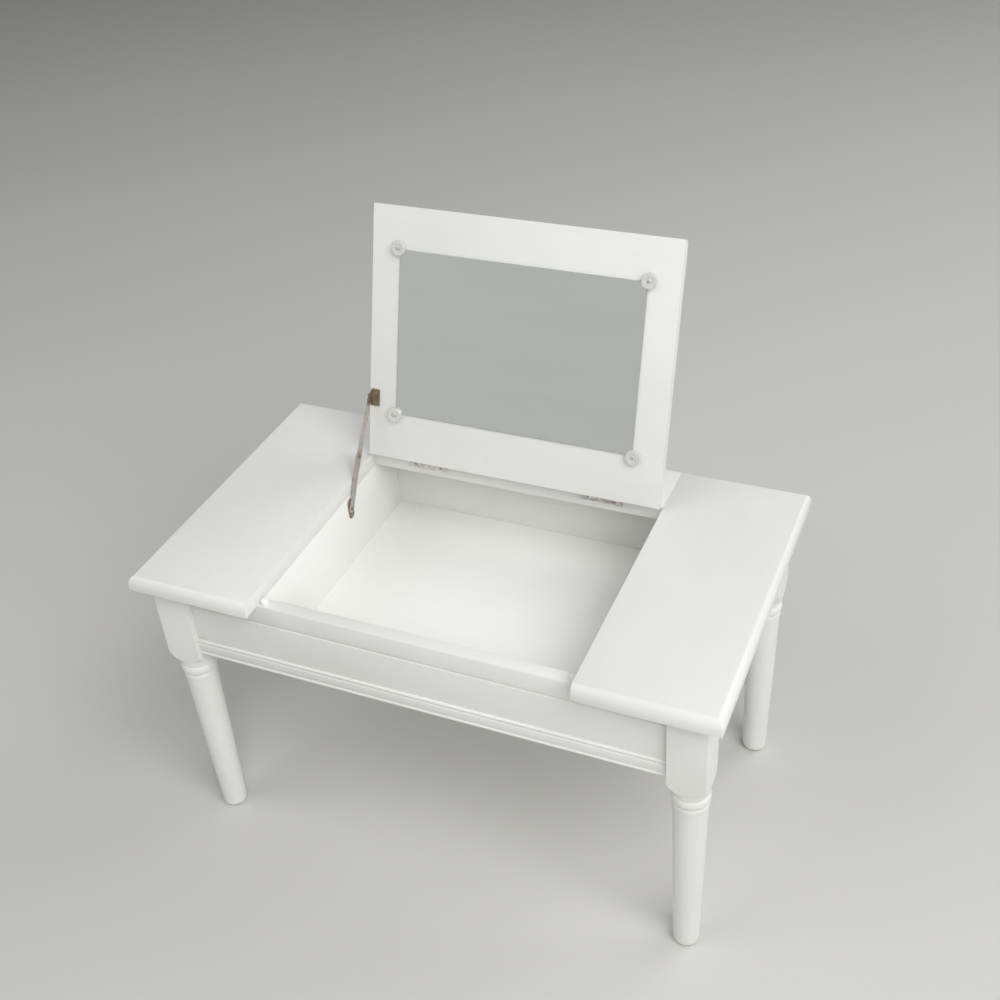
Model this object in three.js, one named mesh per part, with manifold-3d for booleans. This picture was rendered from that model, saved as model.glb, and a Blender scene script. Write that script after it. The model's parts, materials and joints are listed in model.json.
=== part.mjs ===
// Vanity table with a flip-up lid: a mirror inside the lid, and a storage well under it.
// Millimetres, +Z up. X runs along the width, Y from the front to the back, and the floor is z = 0.
// The lid stands open, leaning back past upright on its folding stay, and closes level with the top.

import * as THREE from 'three';
import { mergeVertices } from 'three/addons/utils/BufferGeometryUtils.js';
import Module from 'manifold-3d';

const wasm = await Module();
wasm.setup();

// ---------------------------------------------------------------------------------------------
// Driving dimensions
// ---------------------------------------------------------------------------------------------

// The whole table
const WIDTH = 1300;
const DEPTH = 740;
const HEIGHT = 750;
const SIDES = [['left', -1], ['right', 1]];
const ENDS = [['front', -1], ['back', 1]];

// The top: two side panels and a strip behind the lid, with a moulded outer edge
const TOP_THICK = 35;
const EDGE_INSET = 16;
const EDGE_DROP = 22;
const EDGE_STEPS = 4;
const PANEL_WIDTH = 293;

// Legs: a square block on a turned shaft
const LEG_SQUARE = 82;
const LEG_SIDE_OVERHANG = 32;
const LEG_END_OVERHANG = 29;
const BLOCK_HEIGHT = 175;
const SHOULDER_HEIGHT = 42;
const SHOULDER_STEPS = 5;
const NECK_HEIGHT = 20;
const COLLAR_CHAMFER = 4;
const BEAD_HEIGHT = 26;
const BEAD_FILLET = 1;
const BEAD_STEPS = [-2, -1, 0, 1, 2];
const BEAD_STEP_ANGLE = THREE.MathUtils.degToRad(36);
const RING_HEIGHT = 15;
const RING_CHAMFER = 3;
const SHAFT_NECK = 10;
const ANKLE_HEIGHT = 22;
const TOE_HEIGHT = 6;
const TOE_ROUND = 1.5;
const LEG_SIDES = 24;

// How far each turned part of a leg is inside the face of its square block
const COLLAR_INSET = 1.5;
const GROOVE_INSET = 5;
const BEAD_INSET = 0.5;
const RING_INSET = 2.5;
const SHAFT_INSET = 4.5;
const ANKLE_INSET = 12.5;
const TOE_INSET = 18;

// The glides under the legs
const GLIDE_RADIUS = 13;
const GLIDE_HEIGHT = 4;
const GLIDE_CHAMFER = 1;
const SMALL_SIDES = 12;

// Aprons and the rail over the front one
const APRON_DROP = 186;
const RAIL_DROP = 50;
const FRONT_THICK = 29;
const SIDE_THICK = 20;
const BACK_THICK = 18;
const FRONT_SETBACK = 14;
const SIDE_SETBACK = 14;
const BACK_SETBACK = 10;
const JOINT_CHAMFER = 3;
const MOULDING_HEIGHT = 42;
const MOULDING_PROUD = 5;
const MOULDING_BEAD = 4;
const MOULDING_FILLET = 2;
const MOULDING_COVE = 1;
const MOULDING_COVE_RUN = 3;
const MOULDING_LIP = 6;
const BRACE_THICK = 20;
const BRACE_CLEARANCE = 7.7;
const BRACE_HEIGHT = 60;
const BRACE_DROP = 15;

// The storage well, which fills the width between the side panels
const WELL_WALL = 18;
const WELL_FLOOR = 9;
const WELL_FLOOR_LIFT = 2;
const PAD_RADIUS = 8;
const PAD_IN = 12;
const PAD_CHAMFER = 2;

// The lid, its mirror and the clips that hold it
const LID_THICK = 22;
const LID_SIDE_GAP = 2.5;
const LID_OPEN = THREE.MathUtils.degToRad(106.85);
const PAD_GAP = 0.3;
const SEAT_GAP = 0.3;
const CLOSE_GAP = 0.1;
const MIRROR_MARGIN = 69.5;
const MIRROR_THICK = 4;
const MIRROR_FROM_HINGE = 111;
const MIRROR_FROM_FRONT = 94.5;
const CLIP_RADIUS = 17;
const CLIP_OUTSET = 3;
const CLIP_CAP = 7;
const CLIP_RIM = 2.4;
const CLIP_SCREW_RADIUS = 5.5;
const CLIP_SCREW_HEIGHT = 1.8;
const CLIP_SCREW_FACE = 0.8;
const CLIP_SCREW_SIDE = 0.7;

// Butt hinges on the facing edges of the lid and the back strip
const HINGE_FROM_BACK = 154;
const HINGE_FROM_SIDE = 143;
const HINGE_LENGTH = 100;
const KNUCKLES = 5;
const KNUCKLE_RADIUS = 3.2;
const KNUCKLE_GAP = 0.3;
const KNUCKLE_ROOT = 1;
const PIN_RADIUS = 1.5;
const PIN_CLEARANCE = 0.08;
const KNUCKLE_LIFT = 0.4;
const LEAF_THICK = 1.8;
const LEAF_HEIGHT = 18;
const LEAF_GAP = 0.8;
const HINGE_SCREW_X = 32;
const HINGE_SCREW_DROP = 1;
const HINGE_SIDES = 16;

// Countersunk screws in the hinge leaves and the plates of the stay
const SCREW_HEAD_RADIUS = 3.2;
const SCREW_CORE_RADIUS = 1.7;
const SCREW_CORE_HEIGHT = 0.2;
const SCREW_SINK = 0.2;
const SCREW_CLEARANCE = 0.1;

// The folding stay at the left: a bracket on the lid, two arms and a plate on the wall of the well
const STAY_FROM_HINGE = 140;
const STAY_STANDOFF = 13;
const STAY_WALL_AHEAD = 136;
const STAY_WALL_BELOW = 72.6;
const STAY_UPPER = 137;
const STAY_BEND = THREE.MathUtils.degToRad(6);
const STAY_TAB = 50;
const ARM_WIDTH = 20;
const ARM_THICK = 2;
const ARM_GAP = 0.4;
const STUD_RADIUS = 2.5;
const STUD_CLEARANCE = 0.1;
const STUD_HEAD_RADIUS = 5;
const STUD_HEAD_HEIGHT = 1.4;
const PLATE_THICK = 2;
const PLATE_WIDTH = 22;
const PLATE_HEIGHT = 54;
const PLATE_SCREW_OUT = 19;
const BRACKET_LENGTH = 40;
const BRACKET_WIDTH = 20;
const BRACKET_THICK = 2;
const BRACKET_SCREW_OUT = 12;
const STAY_SIDES = 24;

// How far a cutting tool runs past the face that it opens, and how near two corners are one
const CUT_PAST = 1;
const WELD = 1e-4;

// ---------------------------------------------------------------------------------------------
// Sizes that follow from them
// ---------------------------------------------------------------------------------------------

const UNDER_TOP = HEIGHT - TOP_THICK;
const LEG_X = WIDTH / 2 - LEG_SIDE_OVERHANG - LEG_SQUARE / 2;
const LEG_Y = DEPTH / 2 - LEG_END_OVERHANG - LEG_SQUARE / 2;
const LEG_INNER_X = LEG_X - LEG_SQUARE / 2;
const LEG_INNER_Y = LEG_Y - LEG_SQUARE / 2;
const LEG_OUTER_X = LEG_X + LEG_SQUARE / 2;
const LEG_OUTER_Y = LEG_Y + LEG_SQUARE / 2;
const COLLAR_RADIUS = LEG_SQUARE / 2 - COLLAR_INSET;
const GROOVE_RADIUS = LEG_SQUARE / 2 - GROOVE_INSET;
const BEAD_RADIUS = LEG_SQUARE / 2 - BEAD_INSET;
const RING_RADIUS = LEG_SQUARE / 2 - RING_INSET;
const SHAFT_RADIUS = LEG_SQUARE / 2 - SHAFT_INSET;
const ANKLE_RADIUS = LEG_SQUARE / 2 - ANKLE_INSET;
const TOE_RADIUS = LEG_SQUARE / 2 - TOE_INSET;

const FRONT_FACE = FRONT_SETBACK - LEG_OUTER_Y;
const FRONT_INNER = FRONT_FACE + FRONT_THICK;
const BACK_FACE = LEG_OUTER_Y - BACK_SETBACK;
const BACK_INNER = BACK_FACE - BACK_THICK;
const SIDE_FACE = LEG_OUTER_X - SIDE_SETBACK;
const SIDE_INNER = SIDE_FACE - SIDE_THICK;
const APRON_BOTTOM = UNDER_TOP - APRON_DROP;
const RAIL_BOTTOM = UNDER_TOP - RAIL_DROP;

const WELL_X = WIDTH / 2 - PANEL_WIDTH;
const FLOOR_BOTTOM = APRON_BOTTOM + WELL_FLOOR_LIFT;
const FLOOR_TOP = FLOOR_BOTTOM + WELL_FLOOR;
const BRACE_SLANT = BRACE_THICK * Math.SQRT2;
const BRACE_REACH = BRACE_SLANT + Math.max(BACK_INNER, -FRONT_INNER) - LEG_INNER_Y + BRACE_CLEARANCE;
const PAD_HEIGHT = TOP_THICK - LID_THICK - PAD_GAP;

const PIN_Y = DEPTH / 2 - HINGE_FROM_BACK;
const PIN_Z = HEIGHT + KNUCKLE_RADIUS + KNUCKLE_LIFT;
const EDGE_GAP = LEAF_GAP / 2 + LEAF_THICK;
const STRIP_FRONT = PIN_Y + EDGE_GAP;

// Inside the lid's group the pin is the origin, and the lid lies closed.
const LID_HALF = WELL_X - LID_SIDE_GAP;
const HINGE_X = WELL_X - HINGE_FROM_SIDE;
const MIRROR_HALF = LID_HALF - MIRROR_MARGIN;
const LID_BACK = -EDGE_GAP - SEAT_GAP;
const LID_FRONT = HINGE_FROM_BACK - DEPTH;
const LID_TOP = HEIGHT - PIN_Z;
const LEAF_SCREW_Z = LID_TOP - LEAF_HEIGHT / 2 - HINGE_SCREW_DROP;
const LID_UNDER = LID_TOP - LID_THICK;
const GLASS_TOP = LID_UNDER - SEAT_GAP;
const GLASS_UNDER = GLASS_TOP - MIRROR_THICK;

// The stay's planes, from the wall of the well towards the middle
const PLATE_FACE = -WELL_X + PLATE_THICK;
const LOWER_ARM_X = PLATE_FACE + ARM_GAP;
const UPPER_ARM_X = LOWER_ARM_X + ARM_THICK + ARM_GAP;
const FLANGE_X = UPPER_ARM_X + ARM_THICK + ARM_GAP;

// ---------------------------------------------------------------------------------------------
// Materials
// ---------------------------------------------------------------------------------------------

/** A plain material. */
function paint(color, roughness, metalness = 0) {
  return new THREE.MeshStandardMaterial({ color, roughness, metalness });
}

const WHITE_PAINT = paint(0xe9e9e6, 0.45);
const WELL_PAINT = paint(0xf0f0ed, 0.5);
const MIRROR = paint(0xb4b8b0, 0.03, 1);
const CLIP_PLASTIC = paint(0xdfe6e2, 0.25);
const NYLON = paint(0xf4f4f0, 0.5);
const GLIDE = paint(0x8d8a84, 0.6);
const STEEL = paint(0xb9aea6, 0.35, 0.9);
const BRASS = paint(0x7d6a49, 0.4, 0.9);
const SCREW = paint(0xa9a49b, 0.35, 0.9);

// ---------------------------------------------------------------------------------------------
// Geometry helpers
// ---------------------------------------------------------------------------------------------

const AXIS_X = new THREE.Vector3(1, 0, 0);
const AXIS_Y = new THREE.Vector3(0, 1, 0);
const AXIS_Z = new THREE.Vector3(0, 0, 1);

/** A box between two corners. One matrix sets its faces, so that equal corners give equal faces. */
function boxBetween([x0, y0, z0], [x1, y1, z1]) {
  const place = new THREE.Matrix4().makeScale(x1 - x0, y1 - y0, z1 - z0);
  place.setPosition((x0 + x1) / 2, (y0 + y1) / 2, (z0 + z1) / 2);
  return new THREE.BoxGeometry(1, 1, 1).applyMatrix4(place);
}

/** The lower and upper ends of a span on the negative or positive side of the middle. */
function spanOn(sign, inner, outer) {
  return sign < 0 ? [-outer, -inner] : [inner, outer];
}

/** A solid stacked from level rectangles, { z, west, east, front, back }, from the lowest up. */
function stackedSolid(levels) {
  const rings = levels.map(({ z, west, east, front, back }) => [
    [west, front, z],
    [east, front, z],
    [east, back, z],
    [west, back, z],
  ]);
  const triangles = [];
  const quad = (a, b, c, d) => triangles.push(a, b, c, a, c, d);
  const [w, e, n, s] = rings[0];
  quad(s, n, e, w);
  quad(...rings.at(-1));
  for (let level = 1; level < rings.length; level += 1) {
    const low = rings[level - 1];
    const high = rings[level];
    for (let side = 0; side < 4; side += 1) {
      const next = (side + 1) % 4;
      quad(low[side], low[next], high[next], high[side]);
    }
  }
  const geometry = new THREE.BufferGeometry();
  geometry.setAttribute('position', new THREE.Float32BufferAttribute(triangles.flat(), 3));
  return geometry;
}

/** A board whose chosen edges carry the rounded top moulding: sides is { west, east, front, back }. */
function mouldedBoard({ west, east, front, back, bottom, top }, sides) {
  const level = (z, inset) => ({
    z,
    west: west + (sides.west ? inset : 0),
    east: east - (sides.east ? inset : 0),
    front: front + (sides.front ? inset : 0),
    back: back - (sides.back ? inset : 0),
  });
  const levels = [level(bottom, 0)];
  for (let step = 0; step <= EDGE_STEPS; step += 1) {
    const angle = (step / EDGE_STEPS) * (Math.PI / 2);
    levels.push(level(top - EDGE_DROP * (1 - Math.sin(angle)), EDGE_INSET * (1 - Math.cos(angle))));
  }
  return stackedSolid(levels);
}

/** A closed outline from points given as [a, b]. */
function outline(points) {
  return new THREE.Shape(points.map(([a, b]) => new THREE.Vector2(a, b)));
}

/** Extrudes an outline drawn in (Y, Z) along X. */
function alongX(shape, from, to, curveSegments = STAY_SIDES / 4) {
  const geometry = new THREE.ExtrudeGeometry(shape, { depth: 1, bevelEnabled: false, curveSegments });
  const run = AXIS_X.clone().multiplyScalar(to - from);
  const turn = new THREE.Matrix4().makeBasis(AXIS_Y, AXIS_Z, run);
  return geometry.applyMatrix4(turn.setPosition(from, 0, 0));
}

/** Extrudes an outline drawn in (X, Y) along Z. */
function alongZ(shape, from, to) {
  const geometry = new THREE.ExtrudeGeometry(shape, { depth: to - from, bevelEnabled: false });
  return geometry.translate(0, 0, from);
}

/** Turns a profile of [radius, height] points about an axis through the origin. */
function turned(profile, sides, axis = AXIS_Z) {
  const points = profile.map(([radius, height]) => new THREE.Vector2(radius, height));
  const geometry = new THREE.LatheGeometry(points, sides);
  const turn = new THREE.Quaternion().setFromUnitVectors(AXIS_Y, axis);
  return geometry.applyQuaternion(turn);
}

/** A plain round bar along X. */
function barAlongX(radius, from, to, sides) {
  return turned([[0, from], [radius, from], [radius, to], [0, to]], sides, AXIS_X);
}

/** A closed geometry as a solid that can be joined and cut. */
function solid(geometry) {
  const bare = new THREE.BufferGeometry();
  bare.setAttribute('position', geometry.getAttribute('position'));
  bare.setIndex(geometry.index);
  const merged = mergeVertices(bare, WELD);
  const corners = merged.index.array;
  const triVerts = [];
  for (let i = 0; i < corners.length; i += 3) {
    const [a, b, c] = corners.subarray(i, i + 3);
    if (a !== b && b !== c && c !== a) {
      triVerts.push(a, b, c);
    }
  }
  return new wasm.Manifold(new wasm.Mesh({
    numProp: 3,
    vertProperties: new Float32Array(merged.getAttribute('position').array),
    triVerts: new Uint32Array(triVerts),
  }));
}

/** The geometry of a joined or cut solid. */
function geometryOf(body) {
  const { vertProperties, triVerts } = body.getMesh();
  const geometry = new THREE.BufferGeometry();
  geometry.setAttribute('position', new THREE.BufferAttribute(vertProperties, 3));
  geometry.setIndex(new THREE.BufferAttribute(triVerts, 1));
  return geometry;
}

/** Joins overlapping geometries into one. */
function joined(...parts) {
  return geometryOf(parts.map(solid).reduce((whole, part) => whole.add(part)));
}

/** Cuts tools from a geometry. */
function cut(whole, ...tools) {
  return geometryOf(tools.map(solid).reduce((rest, tool) => rest.subtract(tool), solid(whole)));
}

/** A named mesh. */
function piece(name, geometry, material) {
  const mesh = new THREE.Mesh(geometry, material);
  mesh.name = name;
  return mesh;
}

// ---------------------------------------------------------------------------------------------
// Top
// ---------------------------------------------------------------------------------------------

function addTop(table) {
  const common = { bottom: UNDER_TOP, top: HEIGHT, back: DEPTH / 2 };
  const half = WIDTH / 2;
  table.add(piece('top_panel_left', mouldedBoard(
    { ...common, west: -half, east: -WELL_X, front: -DEPTH / 2 },
    { west: true, front: true, back: true },
  ), WHITE_PAINT));
  table.add(piece('top_panel_right', mouldedBoard(
    { ...common, west: WELL_X, east: half, front: -DEPTH / 2 },
    { east: true, front: true, back: true },
  ), WHITE_PAINT));
  table.add(piece('top_back_strip', mouldedBoard(
    { ...common, west: -WELL_X, east: WELL_X, front: STRIP_FRONT },
    { back: true },
  ), WHITE_PAINT));
}

// ---------------------------------------------------------------------------------------------
// Legs
// ---------------------------------------------------------------------------------------------

/** The turned outline of a leg, wide enough at the top to leave the square block whole. */
function legProfile() {
  const blockBottom = UNDER_TOP - BLOCK_HEIGHT;
  const collarTop = blockBottom - SHOULDER_HEIGHT;
  const clearOfCorners = LEG_SQUARE * Math.SQRT1_2 + SEAT_GAP;
  const shoulder = [];
  for (let step = 0; step <= SHOULDER_STEPS; step += 1) {
    const angle = (step / SHOULDER_STEPS) * (Math.PI / 2);
    const radius = COLLAR_RADIUS + (clearOfCorners - COLLAR_RADIUS) * Math.sin(angle);
    shoulder.push([radius, blockBottom - SHOULDER_HEIGHT * Math.cos(angle)]);
  }
  const grooveTop = collarTop - NECK_HEIGHT;
  const beadMiddle = grooveTop - BEAD_HEIGHT / 2;
  const ringTop = grooveTop - BEAD_HEIGHT;
  const ringBottom = ringTop - RING_HEIGHT;
  const swell = BEAD_RADIUS - GROOVE_RADIUS;
  const reach = BEAD_HEIGHT / 2 - BEAD_FILLET;
  const bead = BEAD_STEPS.map((step) => {
    const angle = step * BEAD_STEP_ANGLE;
    return [GROOVE_RADIUS + swell * Math.cos(angle), beadMiddle + reach * Math.sin(angle)];
  });
  return [
    [0, GLIDE_HEIGHT],
    [TOE_RADIUS, GLIDE_HEIGHT],
    [ANKLE_RADIUS - TOE_ROUND, GLIDE_HEIGHT + TOE_HEIGHT],
    [ANKLE_RADIUS, GLIDE_HEIGHT + ANKLE_HEIGHT],
    [SHAFT_RADIUS, ringBottom - SHAFT_NECK],
    [SHAFT_RADIUS, ringBottom],
    [RING_RADIUS, ringBottom + RING_CHAMFER],
    [RING_RADIUS, ringTop - RING_CHAMFER],
    [GROOVE_RADIUS, ringTop],
    ...bead,
    [GROOVE_RADIUS, grooveTop],
    [COLLAR_RADIUS, grooveTop + COLLAR_CHAMFER],
    ...shoulder,
    [clearOfCorners, UNDER_TOP],
    [0, UNDER_TOP],
  ];
}

function addLegs(table) {
  const turning = turned(legProfile(), LEG_SIDES);
  const glide = turned([
    [0, 0],
    [GLIDE_RADIUS - GLIDE_CHAMFER, 0],
    [GLIDE_RADIUS, GLIDE_CHAMFER],
    [GLIDE_RADIUS, GLIDE_HEIGHT],
    [0, GLIDE_HEIGHT],
  ], SMALL_SIDES);
  for (const [end, ySign] of ENDS) {
    for (const [side, xSign] of SIDES) {
      const [west, east] = spanOn(xSign, LEG_INNER_X, LEG_OUTER_X);
      const [front, back] = spanOn(ySign, LEG_INNER_Y, LEG_OUTER_Y);
      const square = boxBetween([west, front, 0], [east, back, UNDER_TOP]);
      const round = turning.clone().translate(xSign * LEG_X, ySign * LEG_Y, 0);
      const leg = geometryOf(solid(round).intersect(solid(square)));
      table.add(piece(`leg_${end}_${side}`, leg, WHITE_PAINT));
      const foot = piece(`foot_glide_${end}_${side}`, glide, GLIDE);
      foot.position.set(xSign * LEG_X, ySign * LEG_Y, 0);
      table.add(foot);
    }
  }
}

// ---------------------------------------------------------------------------------------------
// Aprons, front rail, moulding and corner braces
// ---------------------------------------------------------------------------------------------

function addAprons(table) {
  const c = JOINT_CHAMFER;
  const rail = outline([
    [FRONT_FACE + c, RAIL_BOTTOM],
    [FRONT_INNER, RAIL_BOTTOM],
    [FRONT_INNER, UNDER_TOP],
    [FRONT_FACE, UNDER_TOP],
    [FRONT_FACE, RAIL_BOTTOM + c],
  ]);
  const apron = outline([
    [FRONT_FACE, APRON_BOTTOM],
    [FRONT_INNER, APRON_BOTTOM],
    [FRONT_INNER, RAIL_BOTTOM],
    [FRONT_FACE + c, RAIL_BOTTOM],
    [FRONT_FACE, RAIL_BOTTOM - c],
  ]);
  table.add(piece('front_rail', alongX(rail, -LEG_INNER_X, LEG_INNER_X), WHITE_PAINT));
  table.add(piece('front_apron', alongX(apron, -LEG_INNER_X, LEG_INNER_X), WHITE_PAINT));
  table.add(piece('front_moulding', alongX(mouldingOutline(), -LEG_INNER_X, LEG_INNER_X), WHITE_PAINT));
  table.add(piece('back_apron', boxBetween(
    [-LEG_INNER_X, BACK_INNER, APRON_BOTTOM],
    [LEG_INNER_X, BACK_FACE, UNDER_TOP],
  ), WHITE_PAINT));
  for (const [side, sign] of SIDES) {
    const [near, far] = spanOn(sign, SIDE_INNER, SIDE_FACE);
    table.add(piece(`${side}_apron`, boxBetween(
      [near, -LEG_INNER_Y, APRON_BOTTOM],
      [far, LEG_INNER_Y, UNDER_TOP],
    ), WHITE_PAINT));
  }
}

/** The moulding along the foot of the front apron: a bead, a cove and a rounded lower edge. */
function mouldingOutline() {
  const top = APRON_BOTTOM + MOULDING_HEIGHT;
  const face = FRONT_FACE - MOULDING_PROUD;
  const coveTop = top - 2 * MOULDING_BEAD;
  const shape = new THREE.Shape();
  shape.moveTo(FRONT_FACE, APRON_BOTTOM);
  shape.lineTo(FRONT_FACE, top);
  shape.lineTo(face + MOULDING_BEAD, top);
  shape.absarc(face + MOULDING_BEAD, top - MOULDING_BEAD, MOULDING_BEAD, Math.PI / 2, (3 * Math.PI) / 2, false);
  shape.lineTo(face + MOULDING_BEAD, coveTop - MOULDING_FILLET);
  shape.lineTo(face + MOULDING_COVE, coveTop - MOULDING_FILLET - MOULDING_COVE_RUN);
  shape.lineTo(face + MOULDING_COVE, APRON_BOTTOM + MOULDING_LIP + 2 * MOULDING_FILLET);
  shape.lineTo(face + MOULDING_FILLET, APRON_BOTTOM + MOULDING_LIP + MOULDING_FILLET);
  shape.lineTo(face, APRON_BOTTOM + MOULDING_LIP);
  shape.lineTo(face, APRON_BOTTOM + MOULDING_FILLET);
  shape.lineTo(face + MOULDING_FILLET, APRON_BOTTOM);
  return shape;
}

/** Diagonal braces from the front or back apron to the side apron, clear of the legs' inner corners. */
function addBraces(table) {
  const top = UNDER_TOP - BRACE_DROP;
  for (const [end, ySign] of ENDS) {
    const wall = ySign < 0 ? FRONT_INNER : BACK_INNER;
    const rise = SIDE_INNER - (LEG_INNER_X - BRACE_REACH);
    for (const [side, xSign] of SIDES) {
      const near = LEG_INNER_X - BRACE_REACH;
      const corners = [
        [xSign * near, wall],
        [xSign * (near + BRACE_SLANT), wall],
        [xSign * SIDE_INNER, wall - ySign * (rise - BRACE_SLANT)],
        [xSign * SIDE_INNER, wall - ySign * rise],
      ];
      const brace = alongZ(outline(corners), top - BRACE_HEIGHT, top);
      table.add(piece(`corner_brace_${end}_${side}`, brace, WELL_PAINT));
    }
  }
}

// ---------------------------------------------------------------------------------------------
// Storage well
// ---------------------------------------------------------------------------------------------

function addWell(table) {
  table.add(piece('well_floor', boxBetween(
    [-WELL_X, FRONT_INNER, FLOOR_BOTTOM],
    [WELL_X, BACK_INNER, FLOOR_TOP],
  ), WELL_PAINT));
  const pad = turned([
    [0, 0],
    [PAD_RADIUS, 0],
    [PAD_RADIUS, PAD_HEIGHT - PAD_CHAMFER],
    [PAD_RADIUS - PAD_CHAMFER, PAD_HEIGHT],
    [0, PAD_HEIGHT],
  ], SMALL_SIDES);
  for (const [side, sign] of SIDES) {
    const [near, far] = spanOn(sign, WELL_X, WELL_X + WELL_WALL);
    table.add(piece(`well_wall_${side}`, boxBetween(
      [near, FRONT_INNER, FLOOR_BOTTOM],
      [far, BACK_INNER, UNDER_TOP],
    ), WELL_PAINT));
    const bumper = piece(`lid_rest_pad_${side}`, pad, NYLON);
    bumper.position.set(sign * (WELL_X - PAD_IN), FRONT_FACE + PAD_IN, UNDER_TOP);
    table.add(bumper);
  }
}

// ---------------------------------------------------------------------------------------------
// Screws
// ---------------------------------------------------------------------------------------------

/** A countersunk screw head that fills a plate of the given thickness, its face looking along +Z. */
function screwHead(thick) {
  return turned([
    [0, SEAT_GAP],
    [SCREW_CORE_RADIUS, SEAT_GAP],
    [SCREW_HEAD_RADIUS, thick - SCREW_SINK],
    [0, thick - SCREW_SINK],
  ], HINGE_SIDES);
}

/** The hole for that screw head, open at both faces of the plate. */
function screwHole(thick) {
  const core = SCREW_CORE_RADIUS + SCREW_CLEARANCE + SEAT_GAP;
  const rim = SCREW_HEAD_RADIUS + SCREW_CLEARANCE + SEAT_GAP;
  return turned([
    [0, -CUT_PAST],
    [core, -CUT_PAST],
    [core, SCREW_CORE_HEIGHT],
    [rim, thick - SCREW_SINK],
    [rim, thick + CUT_PAST],
    [0, thick + CUT_PAST],
  ], HINGE_SIDES);
}

/** Moves a tool or head made along +Z to a point, looking along the given direction. */
function placed(geometry, [x, y, z], direction) {
  const turn = new THREE.Quaternion().setFromUnitVectors(AXIS_Z, direction);
  return geometry.clone().applyQuaternion(turn).translate(x, y, z);
}

// ---------------------------------------------------------------------------------------------
// Hinges. The pin is the origin, and the lid is closed.
// ---------------------------------------------------------------------------------------------

/** One leaf: its plate, its share of the knuckles and its screw holes. way is -1 for the lid's leaf. */
function hingeLeaf(way) {
  const length = HINGE_LENGTH / KNUCKLES;
  const near = LEAF_GAP / 2;
  const far = near + LEAF_THICK;
  const [front, back] = way < 0 ? [-far, -near] : [near, far];
  const half = HINGE_LENGTH / 2;
  const plate = boxBetween([-half, front, LID_TOP - LEAF_HEIGHT], [half, back, LID_TOP]);
  const knuckles = [];
  for (let index = way < 0 ? 1 : 0; index < KNUCKLES; index += 2) {
    const from = -half + index * length + KNUCKLE_GAP / 2;
    const to = from + length - KNUCKLE_GAP;
    knuckles.push(boxBetween([from, front, LID_TOP - KNUCKLE_ROOT], [to, back, 0]));
    knuckles.push(barAlongX(KNUCKLE_RADIUS, from, to, HINGE_SIDES));
  }
  const bore = barAlongX(PIN_RADIUS + PIN_CLEARANCE, -half - CUT_PAST, half + CUT_PAST, HINGE_SIDES);
  const face = new THREE.Vector3(0, -way, 0);
  const wood = way * far;
  const holes = [-HINGE_SCREW_X, HINGE_SCREW_X].map((x) => (
    placed(screwHole(LEAF_THICK), [x, wood, LEAF_SCREW_Z], face)
  ));
  return cut(joined(plate, ...knuckles), bore, ...holes);
}

/** Adds one half of both hinges to a group whose origin is the pin. */
function addHingeHalf(group, owner, way) {
  const leaf = hingeLeaf(way);
  const wood = way * (LEAF_GAP / 2 + LEAF_THICK);
  const face = new THREE.Vector3(0, -way, 0);
  for (const [side, sign] of SIDES) {
    const half = new THREE.Group();
    half.position.x = sign * HINGE_X;
    half.add(piece(`hinge_leaf_${owner}_${side}`, leaf, BRASS));
    for (const [place, x] of [['outer', sign * HINGE_SCREW_X], ['inner', -sign * HINGE_SCREW_X]]) {
      const head = placed(screwHead(LEAF_THICK), [x, wood, LEAF_SCREW_Z], face);
      half.add(piece(`hinge_screw_${owner}_${side}_${place}`, head, SCREW));
    }
    group.add(half);
  }
}

function addFixedHinges(table) {
  const atPin = new THREE.Group();
  atPin.position.set(0, PIN_Y, PIN_Z);
  addHingeHalf(atPin, 'frame', 1);
  const pin = barAlongX(PIN_RADIUS, -HINGE_LENGTH / 2, HINGE_LENGTH / 2, HINGE_SIDES);
  for (const [side, sign] of SIDES) {
    const mesh = piece(`hinge_pin_${side}`, pin, SCREW);
    mesh.position.x = sign * HINGE_X;
    atPin.add(mesh);
  }
  table.add(atPin);
}

// ---------------------------------------------------------------------------------------------
// Lid. The pin is the origin, and the lid is closed: its inside looks down.
// ---------------------------------------------------------------------------------------------

function lidGroup() {
  const lid = new THREE.Group();
  lid.add(piece('lid_panel', mouldedBoard(
    { west: -LID_HALF, east: LID_HALF, front: LID_FRONT, back: LID_BACK, bottom: LID_UNDER, top: LID_TOP },
    { front: true },
  ), WHITE_PAINT));
  addMirror(lid);
  addHingeHalf(lid, 'lid', -1);
  addStayBracket(lid);
  lid.position.set(0, PIN_Y, PIN_Z);
  lid.rotation.x = -LID_OPEN;
  return lid;
}

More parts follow.
